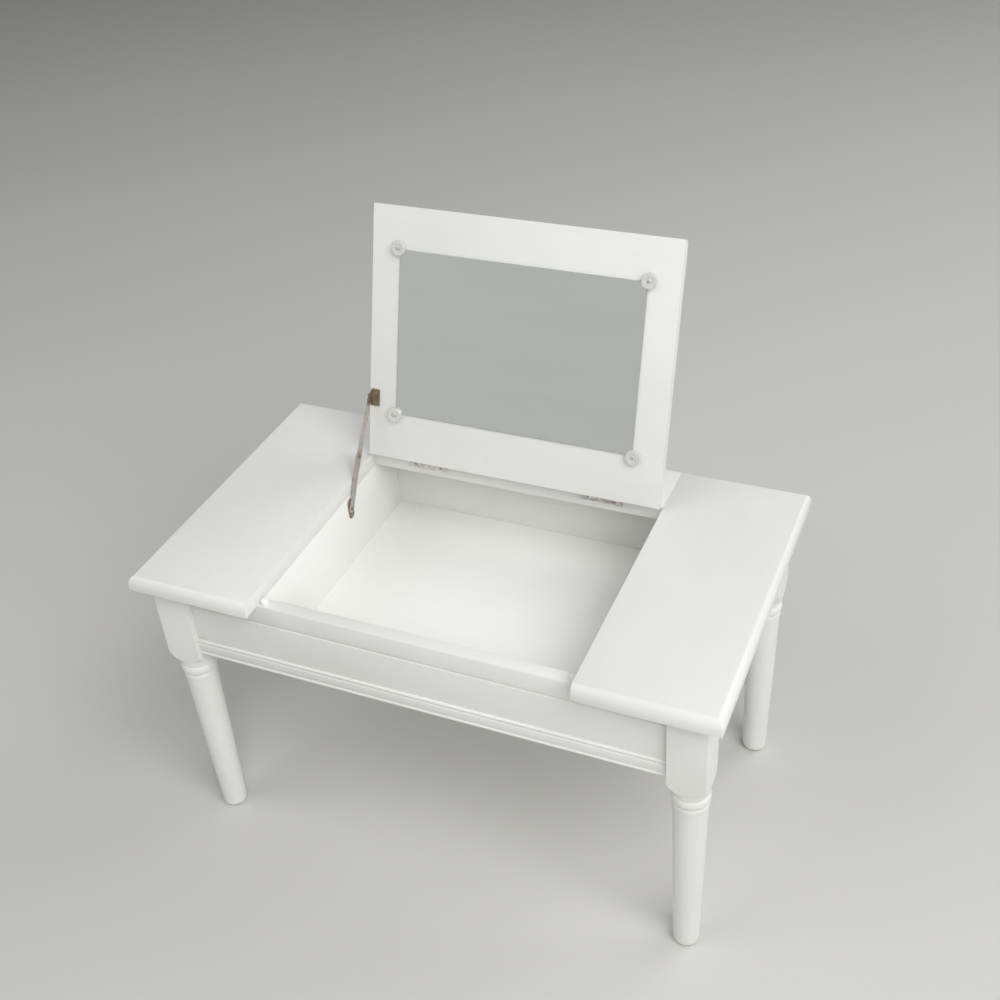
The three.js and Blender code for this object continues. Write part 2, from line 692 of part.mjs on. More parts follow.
/** The glass and its corner clips. A clip bears on the face of the glass and on the lid beside it. */
function addMirror(lid) {
  const near = LID_BACK - MIRROR_FROM_HINGE;
  const far = LID_FRONT + MIRROR_FROM_FRONT;
  const glass = boxBetween([-MIRROR_HALF, far, GLASS_UNDER], [MIRROR_HALF, near, GLASS_TOP]);
  lid.add(piece('mirror_glass', glass, MIRROR));

  const depth = MIRROR_THICK + 2 * SEAT_GAP + CLIP_CAP;
  const clipBody = turned([
    [0, 0],
    [CLIP_RADIUS, 0],
    [CLIP_RADIUS, depth - CLIP_RIM],
    [CLIP_RADIUS - CLIP_RIM, depth],
    [CLIP_RADIUS / 2, depth - CLIP_RIM / 2],
    [0, depth - CLIP_RIM / 2],
  ], LEG_SIDES);
  const screw = turned([
    [0, 0],
    [CLIP_SCREW_RADIUS, 0],
    [CLIP_SCREW_RADIUS * CLIP_SCREW_FACE, CLIP_SCREW_HEIGHT * CLIP_SCREW_SIDE],
    [0, CLIP_SCREW_HEIGHT],
  ], HINGE_SIDES);
  const down = new THREE.Vector3(0, 0, -1);
  const pocket = boxBetween(
    [-MIRROR_HALF - SEAT_GAP, far - SEAT_GAP, GLASS_UNDER - SEAT_GAP],
    [MIRROR_HALF + SEAT_GAP, near + SEAT_GAP, LID_UNDER],
  );
  const base = LID_UNDER - CLOSE_GAP;
  const seat = base - depth + CLIP_RIM / 2 - CLOSE_GAP;
  for (const [end, y] of [['lower', near + CLIP_OUTSET], ['upper', far - CLIP_OUTSET]]) {
    for (const [side, sign] of SIDES) {
      const x = sign * (MIRROR_HALF + CLIP_OUTSET);
      const body = placed(clipBody, [x, y, base], down);
      lid.add(piece(`mirror_clip_${end}_${side}`, cut(body, pocket), CLIP_PLASTIC));
      lid.add(piece(`clip_screw_${end}_${side}`, placed(screw, [x, y, seat], down), SCREW));
    }
  }
}

// ---------------------------------------------------------------------------------------------
// Folding stay
// ---------------------------------------------------------------------------------------------

/** Where the stay's three pivots are, in (Y, Z), with the lid open. */
function stayPivots() {
  const y = LID_BACK - STAY_FROM_HINGE;
  const z = LID_UNDER - STAY_STANDOFF;
  const cos = Math.cos(-LID_OPEN);
  const sin = Math.sin(-LID_OPEN);
  const lid = new THREE.Vector2(PIN_Y + y * cos - z * sin, PIN_Z + y * sin + z * cos);
  const wall = new THREE.Vector2(PIN_Y - STAY_WALL_AHEAD, PIN_Z - STAY_WALL_BELOW);
  const span = lid.clone().sub(wall);
  const lower = -STAY_UPPER * Math.cos(STAY_BEND) + Math.sqrt(
    span.lengthSq() - (STAY_UPPER * Math.sin(STAY_BEND)) ** 2,
  );
  const atWall = Math.asin((STAY_UPPER * Math.sin(STAY_BEND)) / span.length());
  const elbow = wall.clone().add(new THREE.Vector2(lower, 0).rotateAround(
    new THREE.Vector2(),
    span.angle() + atWall,
  ));
  return { lid, wall, elbow, lower };
}

/** A flat arm along +Y, with round ends and a hole at each pivot. */
function arm(holes, end, x) {
  const half = ARM_WIDTH / 2;
  const shape = new THREE.Shape();
  shape.absarc(0, 0, half, Math.PI / 2, (3 * Math.PI) / 2, false);
  shape.absarc(end, 0, half, -Math.PI / 2, Math.PI / 2, false);
  shape.closePath();
  for (const at of holes) {
    const hole = new THREE.Path();
    hole.absarc(at, 0, STUD_RADIUS + STUD_CLEARANCE, 0, Math.PI * 2, true);
    shape.holes.push(hole);
  }
  return alongX(shape, x, x + ARM_THICK, STAY_SIDES / 2);
}

/** A stud along X with a round head at its free end. */
function stud(from, to, headWay) {
  const shank = barAlongX(STUD_RADIUS, Math.min(from, to), Math.max(from, to), STAY_SIDES);
  const [low, high] = headWay < 0 ? [to - STUD_HEAD_HEIGHT, to] : [to, to + STUD_HEAD_HEIGHT];
  return [shank, barAlongX(STUD_HEAD_RADIUS, low, high, STAY_SIDES)];
}

/** The angle bracket inside the lid: a screwed foot, and a flange that carries the upper pivot. */
function addStayBracket(lid) {
  const y = LID_BACK - STAY_FROM_HINGE;
  const z = LID_UNDER - STAY_STANDOFF;
  const seat = LID_UNDER - SEAT_GAP;
  const half = BRACKET_LENGTH / 2;
  const foot = boxBetween(
    [FLANGE_X, y - half, seat - BRACKET_THICK],
    [FLANGE_X + BRACKET_WIDTH, y + half, seat],
  );
  const flange = new THREE.Shape();
  flange.moveTo(y - half, seat);
  flange.lineTo(y - half, seat - BRACKET_THICK);
  flange.lineTo(y - ARM_WIDTH / 2, z);
  flange.absarc(y, z, ARM_WIDTH / 2, Math.PI, Math.PI * 2, false);
  flange.lineTo(y + half, seat - BRACKET_THICK);
  flange.lineTo(y + half, seat);
  const pivot = stud(FLANGE_X + BRACKET_THICK / 2, UPPER_ARM_X - ARM_GAP / 2, -1)
    .map((bar) => bar.translate(0, y, z));
  const bracket = joined(foot, alongX(flange, FLANGE_X, FLANGE_X + BRACKET_THICK), ...pivot);
  const down = new THREE.Vector3(0, 0, -1);
  const spots = [['near', BRACKET_SCREW_OUT], ['far', -BRACKET_SCREW_OUT]].map(([place, offset]) => (
    [place, [FLANGE_X + (BRACKET_WIDTH + BRACKET_THICK) / 2, y + offset, seat]]
  ));
  const holes = spots.map(([, spot]) => placed(screwHole(BRACKET_THICK), spot, down));
  lid.add(piece('stay_bracket', cut(bracket, ...holes), BRASS));
  for (const [place, spot] of spots) {
    lid.add(piece(`stay_bracket_screw_${place}`, placed(screwHead(BRACKET_THICK), spot, down), SCREW));
  }
}

function addStay(table) {
  const { lid, wall, elbow, lower } = stayPivots();

  const upper = new THREE.Group();
  upper.position.set(0, lid.x, lid.y);
  upper.rotation.x = elbow.clone().sub(lid).angle();
  upper.add(piece('stay_upper_arm', arm([0, STAY_UPPER], STAY_UPPER + STAY_TAB, UPPER_ARM_X), STEEL));
  const rivetFace = UPPER_ARM_X + ARM_THICK + ARM_GAP / 2;
  const rivet = joined(...stud(UPPER_ARM_X, rivetFace, 1)).translate(0, STAY_UPPER, 0);
  upper.add(piece('stay_elbow_rivet', rivet, BRASS));
  table.add(upper);

  const below = new THREE.Group();
  below.position.set(0, wall.x, wall.y);
  below.rotation.x = elbow.clone().sub(wall).angle();
  below.add(piece('stay_lower_arm', arm([0, lower], lower, LOWER_ARM_X), STEEL));
  table.add(below);

  addWallPlate(table, wall);
}

/** The plate on the wall of the well, with the stud that the lower arm turns on. */
function addWallPlate(table, wall) {
  const halfWidth = PLATE_WIDTH / 2;
  const reach = PLATE_HEIGHT / 2 - halfWidth;
  const shape = new THREE.Shape();
  shape.absarc(0, reach, halfWidth, 0, Math.PI, false);
  shape.absarc(0, -reach, halfWidth, Math.PI, Math.PI * 2, false);
  shape.closePath();
  const plate = alongX(shape, -WELL_X, PLATE_FACE);
  const bars = stud(-WELL_X + PLATE_THICK / 2, LOWER_ARM_X + ARM_THICK + ARM_GAP / 4, 1);
  const inward = new THREE.Vector3(1, 0, 0);
  const spots = [['upper', PLATE_SCREW_OUT], ['lower', -PLATE_SCREW_OUT]];
  const holes = spots.map(([, z]) => placed(screwHole(PLATE_THICK), [-WELL_X, 0, z], inward));
  const group = new THREE.Group();
  group.position.set(0, wall.x, wall.y);
  group.add(piece('stay_wall_plate', cut(joined(plate, ...bars), ...holes), BRASS));
  for (const [place, z] of spots) {
    const head = placed(screwHead(PLATE_THICK), [-WELL_X, 0, z], inward);
    group.add(piece(`stay_wall_screw_${place}`, head, SCREW));
  }
  table.add(group);
}

// ---------------------------------------------------------------------------------------------
// Assembly
// ---------------------------------------------------------------------------------------------

const table = new THREE.Group();
addTop(table);
addLegs(table);
addAprons(table);
addBraces(table);
addWell(table);
addFixedHinges(table);
table.add(lidGroup());
addStay(table);

// The open lid leans past the back edge, so the table is moved along Y until the origin is the
// middle of the bottom of its box.
const bounds = new THREE.Box3().setFromObject(table, true);
table.position.y = -(bounds.min.y + bounds.max.y) / 2;

export default table;
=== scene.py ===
"""A vanity table with a flip-up mirror lid, dressed for a plain studio.

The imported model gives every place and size. Each sub-assembly below is a class that models its
visible pieces with Blender's operators, dresses them and hands them to the body they move with.
"""

import json
import logging
import math
from dataclasses import dataclass, field
from enum import Enum
from functools import cache
from typing import Callable, Iterable, Optional, Sequence, Union

import bmesh
import bpy
from mathutils import Matrix, Vector

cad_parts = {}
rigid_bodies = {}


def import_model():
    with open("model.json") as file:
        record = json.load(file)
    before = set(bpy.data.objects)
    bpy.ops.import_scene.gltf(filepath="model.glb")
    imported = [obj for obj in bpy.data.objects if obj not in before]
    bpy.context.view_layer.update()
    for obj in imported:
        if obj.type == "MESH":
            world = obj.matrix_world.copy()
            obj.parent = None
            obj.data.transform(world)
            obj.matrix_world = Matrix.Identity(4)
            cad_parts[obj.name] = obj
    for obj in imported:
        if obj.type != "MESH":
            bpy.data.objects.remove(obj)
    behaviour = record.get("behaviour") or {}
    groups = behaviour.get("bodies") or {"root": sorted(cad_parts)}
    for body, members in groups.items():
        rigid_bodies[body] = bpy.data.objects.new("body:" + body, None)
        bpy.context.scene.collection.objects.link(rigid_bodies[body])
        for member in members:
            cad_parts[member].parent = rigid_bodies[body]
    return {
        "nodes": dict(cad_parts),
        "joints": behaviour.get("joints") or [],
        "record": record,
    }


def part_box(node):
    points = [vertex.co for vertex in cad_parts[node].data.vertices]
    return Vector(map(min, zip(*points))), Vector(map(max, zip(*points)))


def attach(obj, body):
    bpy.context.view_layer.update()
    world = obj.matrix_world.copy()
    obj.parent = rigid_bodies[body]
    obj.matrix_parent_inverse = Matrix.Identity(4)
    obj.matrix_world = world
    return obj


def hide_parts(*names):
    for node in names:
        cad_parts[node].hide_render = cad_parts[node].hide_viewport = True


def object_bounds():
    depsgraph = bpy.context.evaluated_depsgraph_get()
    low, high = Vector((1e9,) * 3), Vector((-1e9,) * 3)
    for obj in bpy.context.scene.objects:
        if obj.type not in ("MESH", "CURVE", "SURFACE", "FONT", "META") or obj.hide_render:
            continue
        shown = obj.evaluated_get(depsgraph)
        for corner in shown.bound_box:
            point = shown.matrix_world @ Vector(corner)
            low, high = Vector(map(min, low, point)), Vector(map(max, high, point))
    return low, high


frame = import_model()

CAD_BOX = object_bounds()
MM = 0.001
MERGE = 1e-6
MERGE_COPY = 2e-6
FLAT_WITHIN = math.radians(0.5)

# The sockets of a colour Mix node
MIX_INPUTS, MIX_RESULT = (0, 6, 7), 2

# How sharp a bend is still shaded smooth, in degrees
SMOOTH_BOARD = 25.0
SMOOTH_LEG = 28.0
SMOOTH = 32.0
SMOOTH_GLASS = 5.0
log = logging.getLogger("vanity_table")

Point = Sequence[float]
Value = Union["Wire", float, int]
Part = Union[bmesh.types.BMFace, bmesh.types.BMEdge]


# Shader graphs


class Wire:
    """One output of a material's node, which Python's operators can do sums on."""

    def __init__(self, graph: "Graph", socket: bpy.types.NodeSocket) -> None:
        """Wraps a socket.

        Args:
            graph: The graph that the socket belongs to.
            socket: The output socket.
        """
        self.graph = graph
        self.socket = socket

    def __add__(self, other: Value) -> "Wire":
        """Adds a wire or a number."""
        return self.graph.sum("ADD", self, other)

    def __radd__(self, other: Value) -> "Wire":
        """Adds this wire to a number."""
        return self.graph.sum("ADD", other, self)

    def __sub__(self, other: Value) -> "Wire":
        """Takes a wire or a number away."""
        return self.graph.sum("SUBTRACT", self, other)

    def __rsub__(self, other: Value) -> "Wire":
        """Takes this wire away from a number."""
        return self.graph.sum("SUBTRACT", other, self)

    def __mul__(self, other: Value) -> "Wire":
        """Multiplies by a wire or a number."""
        return self.graph.sum("MULTIPLY", self, other)


class Grain(Enum):
    """The direction that a board's or a bar's grain runs in."""

    X = 0
    Y = 1
    Z = 2


class Graph:
    """A material and the nodes in it."""

    def __init__(self, name: str) -> None:
        """Makes an empty node material.

        Args:
            name: The material's name.
        """
        self.material = bpy.data.materials.new(name)
        self.material.use_nodes = True
        self.tree = self.material.node_tree
        self.tree.nodes.clear()

    def node(
        self,
        kind: str,
        settings: Optional[dict] = None,
        values: Optional[dict] = None,
        output: Union[int, str] = 0,
    ) -> Wire:
        """Adds any node.

        Args:
            kind: The node's type.
            settings: Its properties, set first.
            values: Numbers, colours or wires for its sockets, by name or number.
            output: Which output is returned.

        Returns:
            The chosen output.
        """
        made = self.tree.nodes.new(kind)
        for key, setting in (settings or {}).items():
            setattr(made, key, setting)
        for key, value in (values or {}).items():
            if isinstance(value, Wire):
                self.tree.links.new(value.socket, made.inputs[key])
            else:
                made.inputs[key].default_value = value
        return Wire(self, made.outputs[output])

    def sum(self, operation: str, a: Value, b: Value) -> Wire:
        """A Math node on two values.

        Args:
            operation: The Math node's operation.
            a: The first value.
            b: The second value.

        Returns:
            The result.
        """
        return self.node("ShaderNodeMath", {"operation": operation}, {0: a, 1: b})

    def place(self, grain: Optional[Grain] = None, stretch: float = 12.0) -> Wire:
        """Where a point is on the object, in metres.

        Args:
            grain: The direction that a pattern is drawn out along, if any.
            stretch: How many times longer the pattern is along the grain.

        Returns:
            The position, squeezed along the grain.
        """
        spot = self.node("ShaderNodeTexCoord", output="Object")
        if grain is None:
            return spot
        scale = [1.0, 1.0, 1.0]
        scale[grain.value] = 1.0 / stretch
        return self.node("ShaderNodeMapping", values={"Vector": spot, "Scale": scale})

    def noise(self, spot: Wire, scale: float, detail: float = 3.0, roughness: float = 0.5) -> Wire:
        """A noise pattern between 0 and 1.

        Args:
            spot: The position it reads.
            scale: Its blobs in each metre.
            detail: How many finer layers it has.
            roughness: How strong the finer layers are.

        Returns:
            The noise.
        """
        values = {"Vector": spot, "Scale": scale, "Detail": detail, "Roughness": roughness}
        return self.node("ShaderNodeTexNoise", values=values)

    def ramp(self, value: Wire, low: float, high: float) -> Wire:
        """Stretches what lies between two values to the range from 0 to 1.

        Args:
            value: The value to stretch.
            low: What becomes 0.
            high: What becomes 1.

        Returns:
            The stretched value.
        """
        values = {0: value, 1: low, 2: high, 3: 0.0, 4: 1.0}
        return self.node("ShaderNodeMapRange", {"clamp": True}, values)

    def blend(self, share: Value, a: Point, b: Point) -> Wire:
        """Mixes two colours.

        Args:
            share: How much of the second one, from 0 to 1.
            a: The first colour, or a wire.
            b: The second colour, or a wire.

        Returns:
            The mixed colour.
        """
        mixed = self.tree.nodes.new("ShaderNodeMix")
        mixed.data_type = "RGBA"
        factor, first, second = (mixed.inputs[index] for index in MIX_INPUTS)
        for socket, value in ((factor, share), (first, a), (second, b)):
            if isinstance(value, Wire):
                self.tree.links.new(value.socket, socket)
            elif socket is factor:
                socket.default_value = value
            else:
                socket.default_value = (*value, 1.0)
        return Wire(self, mixed.outputs[MIX_RESULT])

    def bump(self, height: Wire, depth: float, strength: float) -> Wire:
        """The surface's normal over a pattern of heights.

        Args:
            height: The pattern, from 0 to 1.
            depth: How deep it is, in metres.
            strength: How much of it shows.

        Returns:
            The normal.
        """
        values = {"Strength": strength, "Distance": depth, "Height": height}
        return self.node("ShaderNodeBump", values=values)

    def surface(self, values: dict) -> bpy.types.Material:
        """Ends the graph with a Principled shader.

        Args:
            values: Numbers, colours or wires for its sockets, by name.

        Returns:
            The finished material.
        """
        shader = self.node("ShaderNodeBsdfPrincipled", values=values, output="BSDF")
        end = self.tree.nodes.new("ShaderNodeOutputMaterial")
        self.tree.links.new(shader.socket, end.inputs["Surface"])
        return self.material


# Finishes

Colour = tuple[float, float, float]


@dataclass(frozen=True)
class Finish:
    """What every finish shares: it makes its material once.

    Attributes:
        name: The material's name.
        slot: The record's slot it belongs to; the floor, which isn't in the record, has none. Not
            used.
    """

    name: str
    slot: str

    @cache
    def material(self) -> bpy.types.Material:
        """The finish's material, made on first use."""
        return self.build()

    def build(self) -> bpy.types.Material:
        """Makes the material."""
        raise NotImplementedError


@dataclass(frozen=True)
class PaintedWood(Finish):
    """Sprayed and rubbed satin paint over wood, with the grain just telling through it.

    Attributes:
        colour: The clean paint.
        aged: The paint where it is handled or has yellowed a little.
        grain: The direction of the wood's grain.
        gloss_rough: The roughness of the film.
    """

    colour: Colour
    aged: Colour
    grain: Grain
    gloss_rough: float = 0.36

    def build(self) -> bpy.types.Material:
        """Makes the paint: broad tone, faint streaks of grain, and a sprayed stipple."""
        graph = Graph(self.name)
        spot = graph.place()
        along = graph.place(self.grain)
        tone = graph.ramp(graph.noise(spot, 3.2, 4.0, 0.55), 0.35, 0.7)
        streak = graph.noise(along, 95.0, 5.0, 0.6)
        pores = graph.ramp(graph.noise(along, 420.0, 2.0), 0.62, 0.75)
        stipple = graph.noise(spot, 1100.0, 2.0)
        scuff = graph.ramp(graph.noise(spot, 27.0, 6.0, 0.7), 0.6, 0.78)
        age = tone * 0.55 + scuff * 0.3 + (streak - 0.5) * 0.5
        height = streak * 0.5 + stipple * 0.35 - pores * 0.3
        return graph.surface({
            "Base Color": graph.blend(age, self.colour, self.aged),
            "Roughness": self.gloss_rough + tone * 0.05 + scuff * 0.08 + (stipple - 0.5) * 0.06,
            "Normal": graph.bump(height, 0.00012, 0.55),
            "Specular IOR Level": 0.45,
        })


@dataclass(frozen=True)
class SilveredGlass(Finish):
    """The mirror's face.

    Attributes:
        silver: The colour that it reflects.
        haze: The same where the glass is a little dusty.
    """

    silver: Colour
    haze: Colour

    def build(self) -> bpy.types.Material:
        """Makes the mirror: a clean reflection under a trace of wiping haze."""
        graph = Graph(self.name)
        spot = graph.place()
        wiped = graph.ramp(graph.noise(graph.place(Grain.X, 5.0), 14.0, 5.0, 0.65), 0.45, 0.8)
        dust = graph.ramp(graph.noise(spot, 900.0, 2.0), 0.66, 0.74)
        ripple = graph.noise(spot, 6.0, 1.0)
        return graph.surface({
            "Base Color": graph.blend(wiped * 0.35 + dust * 0.2, self.silver, self.haze),
            "Metallic": 1.0,
            "Roughness": 0.02 + wiped * 0.05 + dust * 0.06,
            "Normal": graph.bump(ripple, 0.0002, 0.02),
        })


@dataclass(frozen=True)
class GlassEdge(Finish):
    """The ground edge of the glass, faintly green.

    Attributes:
        pale: The colour of the ground glass.
        deep: The green where it is deeper.
    """

    pale: Colour
    deep: Colour

    def build(self) -> bpy.types.Material:
        """Makes the edge: fine grinding marks over a green tint."""
        graph = Graph(self.name)
        marks = graph.noise(graph.place(Grain.X, 0.2), 700.0, 2.0)
        depth = graph.noise(graph.place(), 30.0, 3.0)
        return graph.surface({
            "Base Color": graph.blend(depth * 0.6 + marks * 0.3, self.pale, self.deep),
            "Roughness": 0.16 + marks * 0.16,
            "Normal": graph.bump(marks, 0.00004, 0.5),
        })


@dataclass(frozen=True)
class MouldedPlastic(Finish):
    """A small moulded piece: clear, milky or solid.

    Attributes:
        colour: Its colour.
        cloud: The colour of its cloudier parts.
        rough: Its roughness.
        clear: How much light goes through, from 0 to 1.
    """

    colour: Colour
    cloud: Colour
    rough: float
    clear: float = 0.0

    def build(self) -> bpy.types.Material:
        """Makes the plastic: flow clouds, a fine texture and light wear."""
        graph = Graph(self.name)
        spot = graph.place()
        flow = graph.noise(spot, 120.0, 4.0, 0.6)
        grit = graph.noise(spot, 2200.0, 2.0)
        wear = graph.ramp(graph.noise(spot, 260.0, 5.0, 0.7), 0.55, 0.75)
        return graph.surface({
            "Base Color": graph.blend(flow * 0.7 + wear * 0.2, self.colour, self.cloud),
            "Roughness": self.rough + wear * 0.12 + (grit - 0.5) * 0.08,
            "Transmission Weight": self.clear,
            "IOR": 1.49,
            "Normal": graph.bump(grit * 0.5 + flow * 0.5, 0.00006, 0.5),
        })


@dataclass(frozen=True)
class PlatedMetal(Finish):
    """Plated hardware: brushed along its length, duller where it is handled; on the hinge plates
    the dark clouds are painted shade.

    Attributes:
        bright: The clean plating.
        tarnish_and_shade: The colour where it has dulled; on the hinge plates, painted shade.
        rough: The roughness of the clean plating.
        grain: The direction of the brushing.
        dark_share: How much of it is dark, from 0 to 1: dulled, and on the hinge plates painted
            shade.
    """

    bright: Colour
    tarnish_and_shade: Colour
    rough: float
    grain: Grain
    dark_share: float = 0.5

    def build(self) -> bpy.types.Material:
        """Makes the metal: brushing lines, tarnish in clouds and small dark specks; on the hinge
        plates the dark clouds are painted shade.
        """
        graph = Graph(self.name)
        spot = graph.place()
        lines = graph.noise(graph.place(self.grain, 18.0), 2600.0, 3.0)
        cloud = graph.ramp(graph.noise(spot, 90.0, 5.0, 0.65), 0.62 - self.dark_share * 0.3, 0.8)
        specks = graph.ramp(graph.noise(spot, 700.0, 3.0), 0.64, 0.72)
        # Tarnish and specks; on the hinge plates this dark mix is painted shade.
        dull_and_shade = cloud * 0.75 + specks * 0.35
        return graph.surface({
            "Base Color": graph.blend(dull_and_shade, self.bright, self.tarnish_and_shade),
            "Metallic": 0.95 - dull_and_shade * 0.3,
            "Roughness": self.rough + dull_and_shade * 0.25 + (lines - 0.5) * 0.12,
            "Normal": graph.bump(lines * 0.6 - specks * 0.5, 0.00004, 0.6),
        })


@dataclass(frozen=True)
class StudioFloor(Finish):
    """The plain pale floor.

    Attributes:
        colour: Its colour.
        shade: The colour of its faint clouds.
    """

    colour: Colour
    shade: Colour

    def build(self) -> bpy.types.Material:
        """Makes the floor: almost even, with faint broad clouds."""
        graph = Graph(self.name)
        cloud = graph.noise(graph.place(), 0.7, 3.0)
        return graph.surface({
            "Base Color": graph.blend(cloud, self.colour, self.shade),
            "Roughness": 0.7 + cloud * 0.1,
            "Specular IOR Level": 0.2,
        })


CLEAN = (0.80, 0.80, 0.785)
AGED = (0.735, 0.73, 0.70)
# The well's paint is a lighter copy of the white paint: painted light, standing in for the light
# that reaches into the well.
WELL_CLEAN_PAINTED_LIGHT = (0.90, 0.90, 0.88)
WELL_AGED_PAINTED_LIGHT = (0.85, 0.845, 0.82)
WELL_ROUGH = 0.48
PAINT_X = PaintedWood("white_paint_along_x", "white_paint", CLEAN, AGED, Grain.X)
PAINT_Y = PaintedWood("white_paint_along_y", "white_paint", CLEAN, AGED, Grain.Y)
PAINT_Z = PaintedWood("white_paint_along_z", "white_paint", CLEAN, AGED, Grain.Z)
WELL_PAINTED_LIGHT = ("well_paint", WELL_CLEAN_PAINTED_LIGHT, WELL_AGED_PAINTED_LIGHT)
WELL_PAINTED_LIGHT_Y = PaintedWood("well_paint_with_painted_light_along_y", *WELL_PAINTED_LIGHT, Grain.Y, WELL_ROUGH)
WELL_PAINTED_LIGHT_X = PaintedWood("well_paint_with_painted_light_along_x", *WELL_PAINTED_LIGHT, Grain.X, WELL_ROUGH)
MIRROR = SilveredGlass("silvered_glass", "mirror", (0.87, 0.89, 0.86), (0.80, 0.81, 0.79))
MIRROR_EDGE = GlassEdge("ground_glass_edge", "mirror", (0.45, 0.50, 0.46), (0.20, 0.28, 0.24))
CLIP = MouldedPlastic(
    "milky_clip", "clip_plastic", (0.90, 0.905, 0.88), (0.80, 0.81, 0.78), 0.24, clear=0.35
)
NYLON = MouldedPlastic("white_nylon", "nylon", (0.90, 0.90, 0.88), (0.82, 0.82, 0.80), 0.42)
GLIDE = MouldedPlastic("grey_glide", "glide", (0.34, 0.33, 0.31), (0.24, 0.23, 0.22), 0.5)
STEEL = PlatedMetal(
    "warm_steel", "steel", (0.63, 0.58, 0.545), (0.30, 0.26, 0.23), 0.3, Grain.Z, dark_share=0.45
)
BRASS = PlatedMetal(
    "aged_brass", "brass", (0.42, 0.33, 0.22), (0.10, 0.08, 0.06), 0.34, Grain.X, dark_share=0.8
)
# The hinge plates' near-black clouds are painted shade, standing in for the dark gaps between the
# knuckles.
HINGE = PlatedMetal(
    "hinge_plate_with_painted_shade", "brass", (0.82, 0.78, 0.74), (0.07, 0.055, 0.045), 0.26, Grain.X, dark_share=0.95
)
SCREW = PlatedMetal(
    "screw_plate", "screw", (0.52, 0.47, 0.42), (0.14, 0.12, 0.10), 0.28, Grain.X, dark_share=0.6
)
PALE_SCREW = PlatedMetal(
    "pale_screw_plate", "screw", (0.78, 0.78, 0.76), (0.52, 0.51, 0.49), 0.36, Grain.X, dark_share=0.25
)
FLOOR = StudioFloor("studio_floor", "", (0.64, 0.635, 0.615), (0.61, 0.605, 0.585))


# Modelling


class Join(Enum):
    """How one solid acts on another."""

    CUT = "DIFFERENCE"
    KEEP_SHARED = "INTERSECT"


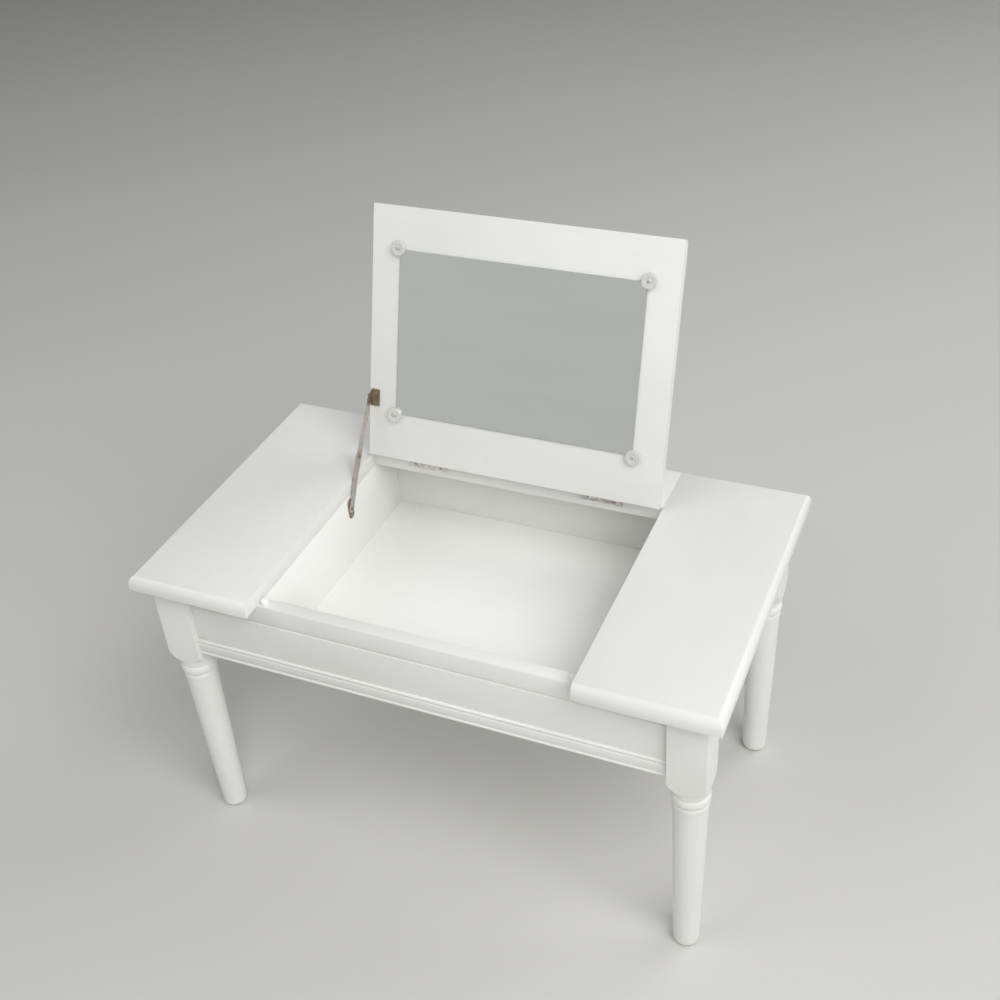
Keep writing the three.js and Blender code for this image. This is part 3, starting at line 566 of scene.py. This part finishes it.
class Shaper:
    """A piece while it is modelled with operators."""

    def __init__(self, piece: bpy.types.Object) -> None:
        """Takes the piece in hand.

        Args:
            piece: A mesh object at the origin.
        """
        self.piece = piece

    @staticmethod
    def deselect() -> None:
        """Deselects every object."""
        for thing in bpy.context.view_layer.objects:
            thing.select_set(False)

    def take(self) -> None:
        """Makes this piece the only selected and the active one."""
        self.deselect()
        self.piece.select_set(True)
        bpy.context.view_layer.objects.active = self.piece

    @classmethod
    def _primitive(cls, name: str) -> "Shaper":
        """Names the primitive that an operator has just added, and applies its place."""
        piece = bpy.context.view_layer.objects.active
        piece.name = name
        piece.data.name = name
        made = cls(piece)
        made.take()
        bpy.ops.object.transform_apply(location=True, rotation=True, scale=True)
        return made

    @classmethod
    def box(cls, name: str, low: Point, high: Point) -> "Shaper":
        """A box between two corners.

        Args:
            name: The piece's name.
            low: Its lowest corner.
            high: Its highest corner.

        Returns:
            The piece in hand.
        """
        cls.deselect()
        low, high = Vector(low), Vector(high)
        bpy.ops.mesh.primitive_cube_add(size=1.0, location=(low + high) / 2, scale=high - low)
        return cls._primitive(name)

    @classmethod
    def turned(cls, name: str, profile: Sequence[tuple[float, float]], steps: int) -> "Shaper":
        """A piece turned about the Z axis from its outline, extruded point by point and spun.

        Args:
            name: The piece's name.
            profile: (radius, height) points, from the axis round to the axis.
            steps: How many steps the spin has.

        Returns:
            The piece in hand.
        """
        cls.deselect()
        bpy.ops.mesh.primitive_plane_add(size=MM)
        made = cls._primitive(name)
        bpy.ops.object.mode_set(mode="EDIT")
        bpy.ops.mesh.select_mode(type="VERT")
        bpy.ops.mesh.select_all(action="SELECT")
        bpy.ops.mesh.merge(type="CENTER")
        spot = Vector((0.0, 0.0, 0.0))
        for index, (radius, height) in enumerate(profile):
            step = Vector((radius, 0.0, height)) - spot
            if index == 0:
                bpy.ops.transform.translate(value=step)
            else:
                bpy.ops.mesh.extrude_region_move(TRANSFORM_OT_translate={"value": step})
            spot += step
        bpy.ops.mesh.select_all(action="SELECT")
        bpy.ops.mesh.spin(steps=steps, angle=math.tau, center=(0, 0, 0), axis=(0, 0, 1))
        bpy.ops.mesh.select_all(action="SELECT")
        bpy.ops.mesh.remove_doubles(threshold=MERGE)
        bpy.ops.mesh.normals_make_consistent(inside=False)
        bpy.ops.object.mode_set(mode="OBJECT")
        return made

    @classmethod
    def copy_of(cls, node: str, name: str) -> "Shaper":
        """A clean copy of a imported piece, its loose triangles merged and its flats made whole.

        Args:
            node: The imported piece.
            name: The new piece's name.

        Returns:
            The piece in hand.
        """
        made = cls(frame["nodes"][node]).copy(name)
        made.take()
        bpy.ops.object.mode_set(mode="EDIT")
        bpy.ops.mesh.select_all(action="SELECT")
        bpy.ops.mesh.remove_doubles(threshold=MERGE_COPY)
        bpy.ops.mesh.dissolve_limited(angle_limit=FLAT_WITHIN)
        bpy.ops.object.mode_set(mode="OBJECT")
        return made

    def copy(self, name: str) -> "Shaper":
        """A copy with a mesh of its own.

        Args:
            name: The copy's name.

        Returns:
            The copy in hand.
        """
        piece = bpy.data.objects.new(name, self.piece.data.copy())
        piece.data.name = name
        bpy.context.scene.collection.objects.link(piece)
        return Shaper(piece)

    def pick(self, kind: str, test: Callable[[Part], bool]) -> None:
        """Selects faces or edges in edit mode.

        Args:
            kind: "faces" or "edges".
            test: Says whether one of them is picked.
        """
        mesh = bmesh.from_edit_mesh(self.piece.data)
        parts = mesh.faces if kind == "faces" else mesh.edges
        for part in parts:
            part.select_set(False)
        for part in parts:
            if test(part):
                part.select_set(True)
        bmesh.update_edit_mesh(self.piece.data)

    def soften(self, width: float, segments: int = 2, angle: float = 35.0) -> "Shaper":
        """Rounds every arris that is sharper than an angle.

        Args:
            width: How far the rounding reaches, in metres.
            segments: How many steps it has.
            angle: The least angle that is rounded, in degrees.

        Returns:
            The piece in hand.
        """
        rounding = self.piece.modifiers.new("rounding", "BEVEL")
        rounding.width = width
        rounding.segments = segments
        rounding.limit_method = "ANGLE"
        rounding.angle_limit = math.radians(angle)
        self.take()
        bpy.ops.object.modifier_apply(modifier=rounding.name)
        return self

    def act(self, other: "Shaper", how: Join) -> "Shaper":
        """Cuts this piece by another one, which is used up.

        Args:
            other: The cutting piece.
            how: What is kept.

        Returns:
            The piece in hand.
        """
        cutting = self.piece.modifiers.new("cutting", "BOOLEAN")
        cutting.operation = how.value
        cutting.solver = "EXACT"
        cutting.object = other.piece
        self.take()
        bpy.ops.object.modifier_apply(modifier=cutting.name)
        bpy.data.objects.remove(other.piece)
        return self

    def move(self, matrix: Matrix) -> "Shaper":
        """Moves the mesh itself, so that the object stays at the origin.

        Args:
            matrix: The move.

        Returns:
            The piece in hand.
        """
        self.piece.data.transform(matrix)
        return self

    def finish(
        self, body: str, finish: Finish, *nodes: str, angle: float = SMOOTH
    ) -> bpy.types.Object:
        """Shades and dresses the piece and hands it to the body it moves with.

        Args:
            body: The body it rides on.
            finish: Its finish.
            nodes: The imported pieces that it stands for.
            angle: The sharpest bend that is shaded smooth, in degrees.

        Returns:
            The finished piece.
        """
        self.take()
        bpy.ops.object.shade_smooth_by_angle(angle=math.radians(angle))
        self.piece.data.materials.clear()
        self.piece.data.materials.append(finish.material())
        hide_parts(*nodes)
        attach(self.piece, body)
        log.info("%s rides on %s", self.piece.name, body)
        return self.piece


def sweep(steps: int, start: float = 0.0, end: float = math.pi / 2) -> list[float]:
    """Evenly spaced angles, both ends included.

    Args:
        steps: How many steps there are.
        start: The first angle, in radians.
        end: The last angle.

    Returns:
        The angles.
    """
    return [start + (end - start) * step / steps for step in range(steps + 1)]


def body_of(node: str) -> str:
    """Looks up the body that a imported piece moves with.

    Args:
        node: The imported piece.

    Returns:
        The body's name.
    """
    bodies = frame["record"]["behaviour"]["bodies"]
    return next(body for body, members in bodies.items() if node in members)


def nodes_with(*starts: str) -> list[str]:
    """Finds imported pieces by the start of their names.

    Args:
        starts: Any of these starts will do.

    Returns:
        The names, in order.
    """
    return sorted(node for node in frame["nodes"] if node.startswith(starts))


def soften_copy(node: str, name: str, finish: Finish, width: float) -> None:
    """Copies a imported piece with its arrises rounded, and finishes the copy.

    Args:
        node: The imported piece.
        name: The new piece's name.
        finish: Its finish.
        width: The rounding of its arrises.
    """
    Shaper.copy_of(node, name).soften(width).finish(body_of(node), finish, node)


class LidHinge:
    """The lid's hinge: turns what is modelled closed to where it stands open."""

    def __init__(self) -> None:
        """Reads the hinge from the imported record."""
        joint = next(j for j in frame["joints"] if j["name"] == "lid_hinge")
        pin = Vector(joint["pos_m"])
        closing = math.radians(joint["range_deg"][1])
        about = Matrix.Rotation(closing, 4, Vector(joint["axis"]))
        self.close = Matrix.Translation(pin) @ about @ Matrix.Translation(-pin)
        self.open = self.close.inverted()

    def closed_box(self, node: str) -> tuple[Vector, Vector]:
        """A lid piece's box with the lid closed.

        Args:
            node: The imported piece.

        Returns:
            Its lowest and highest corners.
        """
        corners = [self.close @ vertex.co for vertex in frame["nodes"][node].data.vertices]
        low = Vector(min(corner[axis] for corner in corners) for axis in range(3))
        high = Vector(max(corner[axis] for corner in corners) for axis in range(3))
        return low, high


# Top and lid boards


@dataclass(frozen=True)
class MouldedEdge:
    """The rounded upper edge that the top and the lid share.

    Attributes:
        inset: How far it runs in from the outer face.
        drop: How far it drops below the upper face.
        steps: How many steps the rounding has.
        arris: The rounding of every other edge.
        arris_steps: How many steps that has.
        arris_angle: The least angle that it rounds, in degrees.
        upward: How far up a face must look to be the upper one.
    """

    inset: float = 16 * MM
    drop: float = 22 * MM
    steps: int = 12
    arris: float = 0.9 * MM
    arris_steps: int = 3
    arris_angle: float = 40.0
    upward: float = 0.9

    def board(self, name: str, low: Vector, high: Vector, sides: Iterable[str]) -> Shaper:
        """A board that carries the moulding on some of its sides.

        Args:
            name: The piece's name.
            low: The board's lowest corner.
            high: Its highest corner.
            sides: Any of "west", "east", "front" and "back".

        Returns:
            The piece in hand.
        """
        kept = set(sides)
        made = Shaper.box(name, low, (high.x, high.y, high.z - self.drop))
        middle = (low + high) / 2
        size = high - low
        bpy.ops.object.mode_set(mode="EDIT")
        bpy.ops.mesh.select_mode(type="FACE")
        made.pick("faces", lambda face: face.normal.z > self.upward)
        inset, level = 0.0, high.z - self.drop
        west, east = float("west" in kept), float("east" in kept)
        front, back = float("front" in kept), float("back" in kept)
        for angle in sweep(self.steps)[1:]:
            next_inset = self.inset * (1 - math.cos(angle))
            next_level = high.z - self.drop * (1 - math.sin(angle))
            rise = Vector((0.0, 0.0, next_level - level))
            bpy.ops.mesh.extrude_region_move(TRANSFORM_OT_translate={"value": rise})
            was = (size.x - inset * (west + east), size.y - inset * (front + back))
            now = (size.x - next_inset * (west + east), size.y - next_inset * (front + back))
            drift = Vector(((west - east) / 2, (front - back) / 2, 0.0))
            centre = middle + drift * inset
            bpy.ops.transform.resize(
                value=(now[0] / was[0], now[1] / was[1], 1.0),
                center_override=(centre.x, centre.y, next_level),
            )
            bpy.ops.transform.translate(value=drift * (next_inset - inset))
            inset, level = next_inset, next_level
        bpy.ops.object.mode_set(mode="OBJECT")
        return made.soften(self.arris, self.arris_steps, self.arris_angle)


@dataclass
class TableTop:
    """The two side panels and the strip behind the lid.

    Attributes:
        edge: The moulding of their outer edges.
    """

    edge: MouldedEdge = field(default_factory=MouldedEdge)

    def build(self) -> None:
        """Models the three boards."""
        outlines = {
            "top_panel_left": ("left_top_board", ("west", "front", "back"), PAINT_Y),
            "top_panel_right": ("right_top_board", ("east", "front", "back"), PAINT_Y),
            "top_back_strip": ("back_top_board", ("back",), PAINT_X),
        }
        for node, (name, sides, finish) in outlines.items():
            board = self.edge.board(name, *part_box(node), sides)
            board.finish("table", finish, node, angle=SMOOTH_BOARD)


@dataclass
class LidBoard:
    """The lid's panel, modelled closed and then opened.

    Attributes:
        hinge: The lid's hinge.
        edge: Its moulding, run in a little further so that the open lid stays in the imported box.
    """

    hinge: LidHinge
    edge: MouldedEdge = field(default_factory=lambda: MouldedEdge(inset=17.5 * MM))

    def build(self) -> None:
        """Models the board."""
        low, high = self.hinge.closed_box("lid_panel")
        board = self.edge.board("lid_board", low, high, ("front",))
        board.move(self.hinge.open).finish("lid", PAINT_X, "lid_panel", angle=SMOOTH_BOARD)


# Legs


@dataclass
class TurnedLegs:
    """The four legs: a square block that is turned to a beaded, tapering shaft.

    Attributes:
        block: The height of the square block.
        shoulder: The height over which the block is turned round.
        collar: The radius under the shoulder.
        neck: The height of the plain collar above the bead.
        groove: The radius in the grooves.
        bead: The radius of the bead.
        bead_height: The height of the bead.
        ring: The radius of the ring below it.
        ring_height: The height of that ring.
        shaft: The radius at the top of the shaft.
        ankle: The radius at the foot of the shaft.
        ankle_height: The height of the foot's rounding.
        toe: The radius of the end.
        taper: How late the shaft tapers; 1 is a straight taper.
        ring_round: How much the ring's edges fall away.
        bead_fillet: The flat above and below the bead.
        cove_rise: The height of the cove above the bead.
        shaft_neck: The plain neck under the ring.
        flare: How far the shaft widens where it meets the ring.
        flare_drop: How far below the ring it does.
        block_arris: The rounding of the block's edges.
        steps: How many steps each turning has.
    """

    block: float = 175 * MM
    shoulder: float = 42 * MM
    collar: float = 39.5 * MM
    neck: float = 20 * MM
    groove: float = 36 * MM
    bead: float = 40.5 * MM
    bead_height: float = 26 * MM
    ring: float = 38.5 * MM
    ring_height: float = 15 * MM
    shaft: float = 36.5 * MM
    ankle: float = 28.5 * MM
    ankle_height: float = 22 * MM
    toe: float = 23 * MM
    taper: float = 1.1
    ring_round: float = 1.6 * MM
    bead_fillet: float = 1.5 * MM
    cove_rise: float = 5 * MM
    shaft_neck: float = 9 * MM
    flare: float = 0.4 * MM
    flare_drop: float = 1 * MM
    block_arris: float = 1.8 * MM
    steps: int = 96

    def profile(self, foot: float, top: float, clear: float) -> list[tuple[float, float]]:
        """The turned outline, wide enough at the top to leave the block square.

        Args:
            foot: The height of the leg's end.
            top: The height of its top.
            clear: A radius beyond the block's corners.

        Returns:
            (radius, height) points from the axis round to the axis.
        """
        block_foot = top - self.block
        neck_top = block_foot - self.shoulder
        groove_top = neck_top - self.neck
        middle = groove_top - self.bead_height / 2
        ring_top = groove_top - self.bead_height
        ring_foot = ring_top - self.ring_height
        foot_arc = [
            (self.toe + (self.ankle - self.toe) * math.sin(a),
             foot + self.ankle_height * 0.5 * (1 - math.cos(a)))
            for a in sweep(6)
        ]
        ankle_top = foot + self.ankle_height
        neck_foot = ring_foot - self.shaft_neck
        shaft = [
            (self.shaft + (self.ankle - self.shaft) * share ** self.taper,
             neck_foot + (ankle_top - neck_foot) * share)
            for share in (1.0, 0.75, 0.5, 0.25, 0.0)
        ]
        ring_arc = [
            (self.ring - self.ring_round * (1 - math.sin(a)),
             ring_foot + self.ring_height * (0.5 - 0.5 * math.cos(a)))
            for a in sweep(8, end=math.pi)
        ]
        swell = self.bead - self.groove
        reach = self.bead_height / 2 - self.bead_fillet
        bead_arc = [
            (self.groove + swell * math.cos(a), middle + reach * math.sin(a))
            for a in sweep(12, start=-math.pi / 2)
        ]
        cove = [
            (self.groove + (self.collar - self.groove) * (1 - math.cos(a)),
             groove_top + self.cove_rise * math.sin(a))
            for a in sweep(5)
        ]
        turn = [
            (self.collar + (clear - self.collar) * math.sin(a),
             block_foot - self.shoulder * math.cos(a))
            for a in sweep(16)
        ]
        flare = (self.shaft + self.flare, ring_foot - self.flare_drop)
        shank = [(0.0, foot), *foot_arc, *shaft, flare]
        return [*shank, *ring_arc, *bead_arc, *cove, *turn, (clear, top), (0.0, top)]

    def build(self) -> None:
        """Turns one leg, keeps its block square, and copies it to the four corners."""
        low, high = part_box("leg_front_left")
        half = (high.x - low.x) / 2
        past_corners = half * 1.45
        profile = self.profile(low.z, high.z + 2 * MM, past_corners)
        model = Shaper.turned("leg_model", profile, self.steps)
        square = Shaper.box("leg_square", (-half, -half, low.z - MM), (half, half, high.z))
        square.soften(self.block_arris, 4)
        model.act(square, Join.KEEP_SHARED)
        for node in nodes_with("leg_"):
            corner_low, corner_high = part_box(node)
            place = (corner_low + corner_high) / 2
            leg = model.copy(f"turned_{node}")
            leg.move(Matrix.Translation((place.x, place.y, 0.0)))
            leg.finish("table", PAINT_Z, node, angle=SMOOTH_LEG)
        bpy.data.objects.remove(model.piece)


# Boards that only need their arrises softened


@dataclass
class Carcass:
    """Rails, aprons, moulding, braces, the well and the small parts fixed to them.

    Attributes:
        arris: The rounding of the boards' arrises.
        fine: The rounding of the smallest ones.
        inside: The rounding of the boards inside.
        dome: The height of a rest pad's dome.
    """

    arris: float = 1.0 * MM
    fine: float = 0.3 * MM
    inside: float = 0.5 * MM
    dome: float = 3 * MM

    def build(self) -> None:
        """Models the boards, the glides and the pads."""
        boards = (
            ("front_rail", "rail_over_apron", PAINT_X, self.arris),
            ("front_apron", "apron_front_board", PAINT_X, self.arris),
            ("front_moulding", "apron_front_bead", PAINT_X, self.fine),
            ("back_apron", "apron_back_board", PAINT_X, self.arris),
            ("left_apron", "apron_left_board", PAINT_Y, self.arris),
            ("right_apron", "apron_right_board", PAINT_Y, self.arris),
            ("well_floor", "well_bottom_board", WELL_PAINTED_LIGHT_X, self.fine),
        )
        for node, name, finish, width in boards:
            soften_copy(node, name, finish, width)
        for node in nodes_with("well_wall", "corner_brace"):
            soften_copy(node, f"board_{node}", WELL_PAINTED_LIGHT_Y, self.inside)
        for node in nodes_with("foot_glide"):
            soften_copy(node, f"nylon_{node}", GLIDE, self.fine)
        self.build_pads()

    def build_pads(self) -> None:
        """Turns the domed rest pads for the lid."""
        for node in nodes_with("lid_rest_pad"):
            low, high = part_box(node)
            radius, height = (high.x - low.x) / 2, high.z - low.z
            dome = [
                (radius * math.cos(a), height - self.dome + self.dome * math.sin(a))
                for a in sweep(8)
            ]
            foot = [(0.0, 0.0), (radius - self.fine, 0.0), (radius, self.fine)]
            pad = Shaper.turned(f"domed_{node}", [*foot, *dome[:-1], (0.0, height)], 32)
            pad.move(Matrix.Translation(((low.x + high.x) / 2, (low.y + high.y) / 2, low.z)))
            pad.finish("table", NYLON, node)


# Mirror and its clips


@dataclass
class MirrorUnit:
    """The mirror inside the lid and the four clips at its corners.

    Attributes:
        hinge: The lid's hinge.
        polish: The width of the glass's ground arris.
        slack: The gap between the glass and a clip.
        dish: How deep the clip is dished round its screw.
        rim: The rounding of the clip's rim.
        bowl: The radius of the dish, as a share of the clip's.
        seat: The radius of the screw's seat, as a share of the clip's.
        faces: How nearly a face must look out to be mirror and not ground edge.
    """

    hinge: LidHinge
    polish: float = 1.2 * MM
    slack: float = 0.3 * MM
    dish: float = 1.4 * MM
    rim: float = 1.6 * MM
    bowl: float = 0.62
    seat: float = 0.36
    faces: float = 0.99

    def build(self) -> None:
        """Models the glass and its clips."""
        self.build_glass()
        for node in nodes_with("mirror_clip"):
            self.build_clip(node)

    def build_glass(self) -> None:
        """Models the glass, its edge ground and tinted."""
        low, high = self.hinge.closed_box("mirror_glass")
        glass = Shaper.box("mirror_plate", low, high)
        bpy.ops.object.mode_set(mode="EDIT")
        bpy.ops.mesh.select_mode(type="EDGE")
        glass.pick("edges", lambda edge: abs(edge.verts[0].co.z - edge.verts[1].co.z) < MERGE)
        bpy.ops.mesh.bevel(offset=self.polish, segments=2, affect="EDGES")
        bpy.ops.object.mode_set(mode="OBJECT")
        glass.move(self.hinge.open)
        plate = glass.finish("lid", MIRROR, "mirror_glass", angle=SMOOTH_GLASS)
        plate.data.materials.append(MIRROR_EDGE.material())
        facing = (self.hinge.open.to_3x3() @ Vector((0.0, 0.0, -1.0))).normalized()
        for face in plate.data.polygons:
            face.material_index = int(face.normal.dot(facing) < self.faces)

    def build_clip(self, node: str) -> None:
        """Turns a clip, dished round its screw, and notches it for the glass.

        Args:
            node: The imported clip.
        """
        low, high = self.hinge.closed_box(node)
        radius, depth = (high.x - low.x) / 2, high.z - low.z
        bowl, seat = radius * self.bowl, radius * self.seat
        edge = [
            (radius - self.rim * (1 - math.cos(a)), depth - self.rim * (1 - math.sin(a)))
            for a in sweep(6)
        ]
        dish = [
            (bowl + (seat - bowl) * share,
             depth - self.dish * 0.5 * (1 - math.cos(math.pi * share)))
            for share in (0.0, 0.25, 0.5, 0.75, 1.0)
        ]
        profile = [(0.0, 0.0), (radius, 0.0), *edge, *dish, (0.0, depth - self.dish)]
        clip = Shaper.turned(f"turned_{node}", profile, 48)
        over = Matrix.Translation(((low.x + high.x) / 2, (low.y + high.y) / 2, high.z))
        clip.move(over @ Matrix.Rotation(math.pi, 4, "X"))
        glass_low, glass_high = self.hinge.closed_box("mirror_glass")
        slack, past_clip = self.slack, 2 * MM
        below, above = Vector((slack, slack, slack)), Vector((slack, slack, past_clip))
        pocket = Shaper.box("pocket", glass_low - below, glass_high + above)
        clip.act(pocket, Join.CUT)
        clip.move(self.hinge.open).finish("lid", CLIP, node)


# Hardware


@dataclass
class Screws:
    """Cross-head screws, flush or domed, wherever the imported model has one.

    Attributes:
        hinge: The lid's hinge.
        slot_width: The width of the cross.
        slot_depth: Its depth.
        slot_reach: How far the cross reaches, as a share of the head's radius.
        core: The foot of a flush head, as a share of its radius.
        lip: The bevel round a flush head's face.
        wall: The straight side of a domed head, as a share of its height.
    """

    hinge: LidHinge
    slot_width: float = 1.0 * MM
    slot_depth: float = 0.8 * MM
    slot_reach: float = 0.6
    core: float = 0.53
    lip: float = 0.15 * MM
    wall: float = 0.25

    def model(self, name: str, radius: float, height: float, domed: bool) -> Shaper:
        """Turns a screw head along +Z and cuts its cross.

        Args:
            name: The piece's name.
            radius: The head's radius.
            height: Its height.
            domed: Whether its face is domed instead of flat.

        Returns:
            The piece in hand.
        """
        if domed:
            face = [
                (radius * math.cos(a), height * (self.wall + (1 - self.wall) * math.sin(a)))
                for a in sweep(7)[:-1]
            ]
            profile = [(0.0, 0.0), (radius, 0.0), *face, (0.0, height)]
        else:
            core = (radius * self.core, 0.0)
            lip = [(radius - self.lip, height - self.lip), (radius - 2 * self.lip, height)]
            profile = [(0.0, 0.0), core, *lip, (0.0, height)]
        head = Shaper.turned(name, profile, 32)
        arm, half = radius * self.slot_reach, self.slot_width / 2
        for x, y in ((arm, half), (half, arm)):
            low = (-x, -y, height - self.slot_depth)
            head.act(Shaper.box("cross", low, (x, y, height + MM)), Join.CUT)
        return head

    def build(self) -> None:
        """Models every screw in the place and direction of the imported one."""
        down = Vector((0.0, 0.0, -1.0))
        back = Vector((0.0, 1.0, 0.0))
        ways = {
            "hinge_screw_frame": (-back, SCREW, False, False),
            "hinge_screw_lid": (back, SCREW, True, False),
            "stay_bracket_screw": (down, SCREW, True, False),
            "stay_wall_screw": (Vector((1.0, 0.0, 0.0)), SCREW, False, False),
            "clip_screw": (down, PALE_SCREW, True, True),
        }
        for start, (way, finish, on_lid, domed) in ways.items():
            for node in nodes_with(start):
                low, high = self.hinge.closed_box(node) if on_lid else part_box(node)
                size = high - low
                height = abs(size.dot(way))
                radius = max(size) / 2
                foot = (low + high) / 2 - way * height / 2
                head = self.model(f"cross_{node}", radius, height, domed)
                turn = way.to_track_quat("Z", "Y").to_matrix().to_4x4()
                head.move(Matrix.Translation(foot) @ turn)
                if on_lid:
                    head.move(self.hinge.open)
                head.finish(body_of(node), finish, node)


@dataclass
class Hardware:
    """The hinges and the folding stay, with their edges softened.

    Attributes:
        hinge_arris: The rounding of the leaves' and pins' edges.
        plate_arris: The rounding of the stay's plates.
        arm_arris: The rounding of its arms.
    """

    hinge_arris: float = 0.2 * MM
    plate_arris: float = 0.25 * MM
    arm_arris: float = 0.35 * MM

    def build(self) -> None:
        """Models the leaves, pins, plates, arms and rivet."""
        for node in nodes_with("hinge_leaf"):
            soften_copy(node, f"plated_{node}", HINGE, self.hinge_arris)
        for node in nodes_with("hinge_pin"):
            soften_copy(node, f"steel_{node}", SCREW, self.hinge_arris)
        for node in ("stay_bracket", "stay_wall_plate", "stay_elbow_rivet"):
            soften_copy(node, f"brass_{node}", BRASS, self.plate_arris)
        for node in ("stay_upper_arm", "stay_lower_arm"):
            soften_copy(node, f"steel_{node}", STEEL, self.arm_arris)


# Studio


@dataclass
class Studio:
    """The floor, the lights and the camera.

    Attributes:
        azimuth: The camera's direction from the table, in degrees to the right of the front.
        elevation: Its height above the horizon, in degrees.
        roll: How far it is turned about its own line of sight, in degrees.
        distance: How far it stands from what it looks at.
        aim: What it looks at: how far right and back of the table's middle, and how high.
        lens: Its lens, in millimetres.
        sensor: The width of its sensor, in millimetres.
        floor_size: The side of the floor.
        floor_front: How far the floor reaches in front of the table's middle.
        walls: How bright the walls are.
        horizon: The heights between which the walls fade, as the sine of the elevation.
        watched: The height of the point that the lights look at.
    """

    azimuth: float = 25.44
    elevation: float = 36.27
    roll: float = -4.43
    distance: float = 2.9
    aim: tuple[float, float, float] = (0.0220, 0.0917, 0.7805)
    lens: float = 47.52
    sensor: float = 36.0
    floor_size: float = 36.0
    floor_front: float = 4.5
    walls: float = 0.49
    horizon: tuple[float, float] = (0.22, 0.5)
    watched: float = 0.7

    def build(self) -> None:
        """Sets up the studio."""
        self.build_floor()
        self.build_lights()
        self.build_camera()

    def build_floor(self) -> None:
        """Lays the floor under the legs."""
        Shaper.deselect()
        middle = (0.0, self.floor_size / 2 - self.floor_front, CAD_BOX[0].z)
        bpy.ops.mesh.primitive_plane_add(size=self.floor_size, location=middle)
        floor = bpy.context.view_layer.objects.active
        floor.name = "studio_floor"
        floor.data.materials.append(FLOOR.material())

    def build_lights(self) -> None:
        """Hangs four broad lights high round the table and rings the studio with pale walls."""
        self.area("key", (5.0, -4.0, 7.0), 7.0, 700.0)
        self.area("fill", (-4.6, -4.2, 7.2), 6.0, 195.0)
        self.area("rim", (5.0, 4.5, 6.0), 6.0, 225.0)
        self.area("ceiling", (0.5, 0.5, 7.0), 8.0, 55.0)
        self.build_walls()

    def build_walls(self) -> None:
        """Makes the world bright near the horizon, as pale walls are, and dim overhead."""
        world = bpy.data.worlds.new("studio_walls")
        world.use_nodes = True
        nodes, links = world.node_tree.nodes, world.node_tree.links
        direction = nodes.new("ShaderNodeTexCoord")
        split = nodes.new("ShaderNodeSeparateXYZ")
        height = nodes.new("ShaderNodeMath")
        height.operation = "ABSOLUTE"
        fade = nodes.new("ShaderNodeMapRange")
        fade.interpolation_type = "SMOOTHSTEP"
        low, high = self.horizon
        for index, value in enumerate((low, high, self.walls, 0.0), start=1):
            fade.inputs[index].default_value = value
        links.new(direction.outputs["Generated"], split.inputs[0])
        links.new(split.outputs["Z"], height.inputs[0])
        links.new(height.outputs[0], fade.inputs[0])
        links.new(fade.outputs[0], nodes["Background"].inputs["Strength"])
        nodes["Background"].inputs["Color"].default_value = (1.0, 1.0, 0.985, 1.0)
        bpy.context.scene.world = world

    def area(self, name: str, place: Point, size: float, power: float) -> None:
        """Adds a square light that looks at the table.

        Args:
            name: The light's name.
            place: Where it hangs.
            size: Its side.
            power: Its power, in watts.
        """
        data = bpy.data.lights.new(name, "AREA")
        data.shape = "SQUARE"
        data.size = size
        data.energy = power
        light = bpy.data.objects.new(name, data)
        light.location = place
        towards = Vector((0.0, 0.0, self.watched)) - Vector(place)
        light.rotation_euler = towards.to_track_quat("-Z", "Y").to_euler()
        bpy.context.scene.collection.objects.link(light)

    def build_camera(self) -> None:
        """Places the camera."""
        azimuth, elevation, roll = map(math.radians, (self.azimuth, self.elevation, self.roll))
        away = Vector((
            math.sin(azimuth) * math.cos(elevation),
            -math.cos(azimuth) * math.cos(elevation),
            math.sin(elevation),
        ))
        right = (-away).cross(Vector((0.0, 0.0, 1.0))).normalized()
        up = right.cross(-away)
        rolled_right = right * math.cos(roll) + up * math.sin(roll)
        rolled_up = up * math.cos(roll) - right * math.sin(roll)
        place = Vector(self.aim) + away * self.distance
        turn = Matrix((rolled_right, rolled_up, away)).transposed().to_4x4()
        data = bpy.data.cameras.new("camera")
        data.sensor_width = self.sensor
        data.lens = self.lens
        camera = bpy.data.objects.new("camera", data)
        bpy.context.scene.collection.objects.link(camera)
        camera.matrix_world = Matrix.Translation(place) @ turn
        bpy.context.scene.camera = camera
        bpy.context.scene.view_settings.view_transform = "Standard"


def main() -> None:
    """Builds the studio and the table, sub-assembly by sub-assembly."""
    logging.basicConfig(level=logging.INFO, format="%(name)s: %(message)s")
    hinge = LidHinge()
    boards = (TableTop(), LidBoard(hinge), TurnedLegs(), Carcass())
    fittings = (MirrorUnit(hinge), Screws(hinge), Hardware())
    for part in (Studio(), *boards, *fittings):
        part.build()


if __name__ == "__main__":
    main()
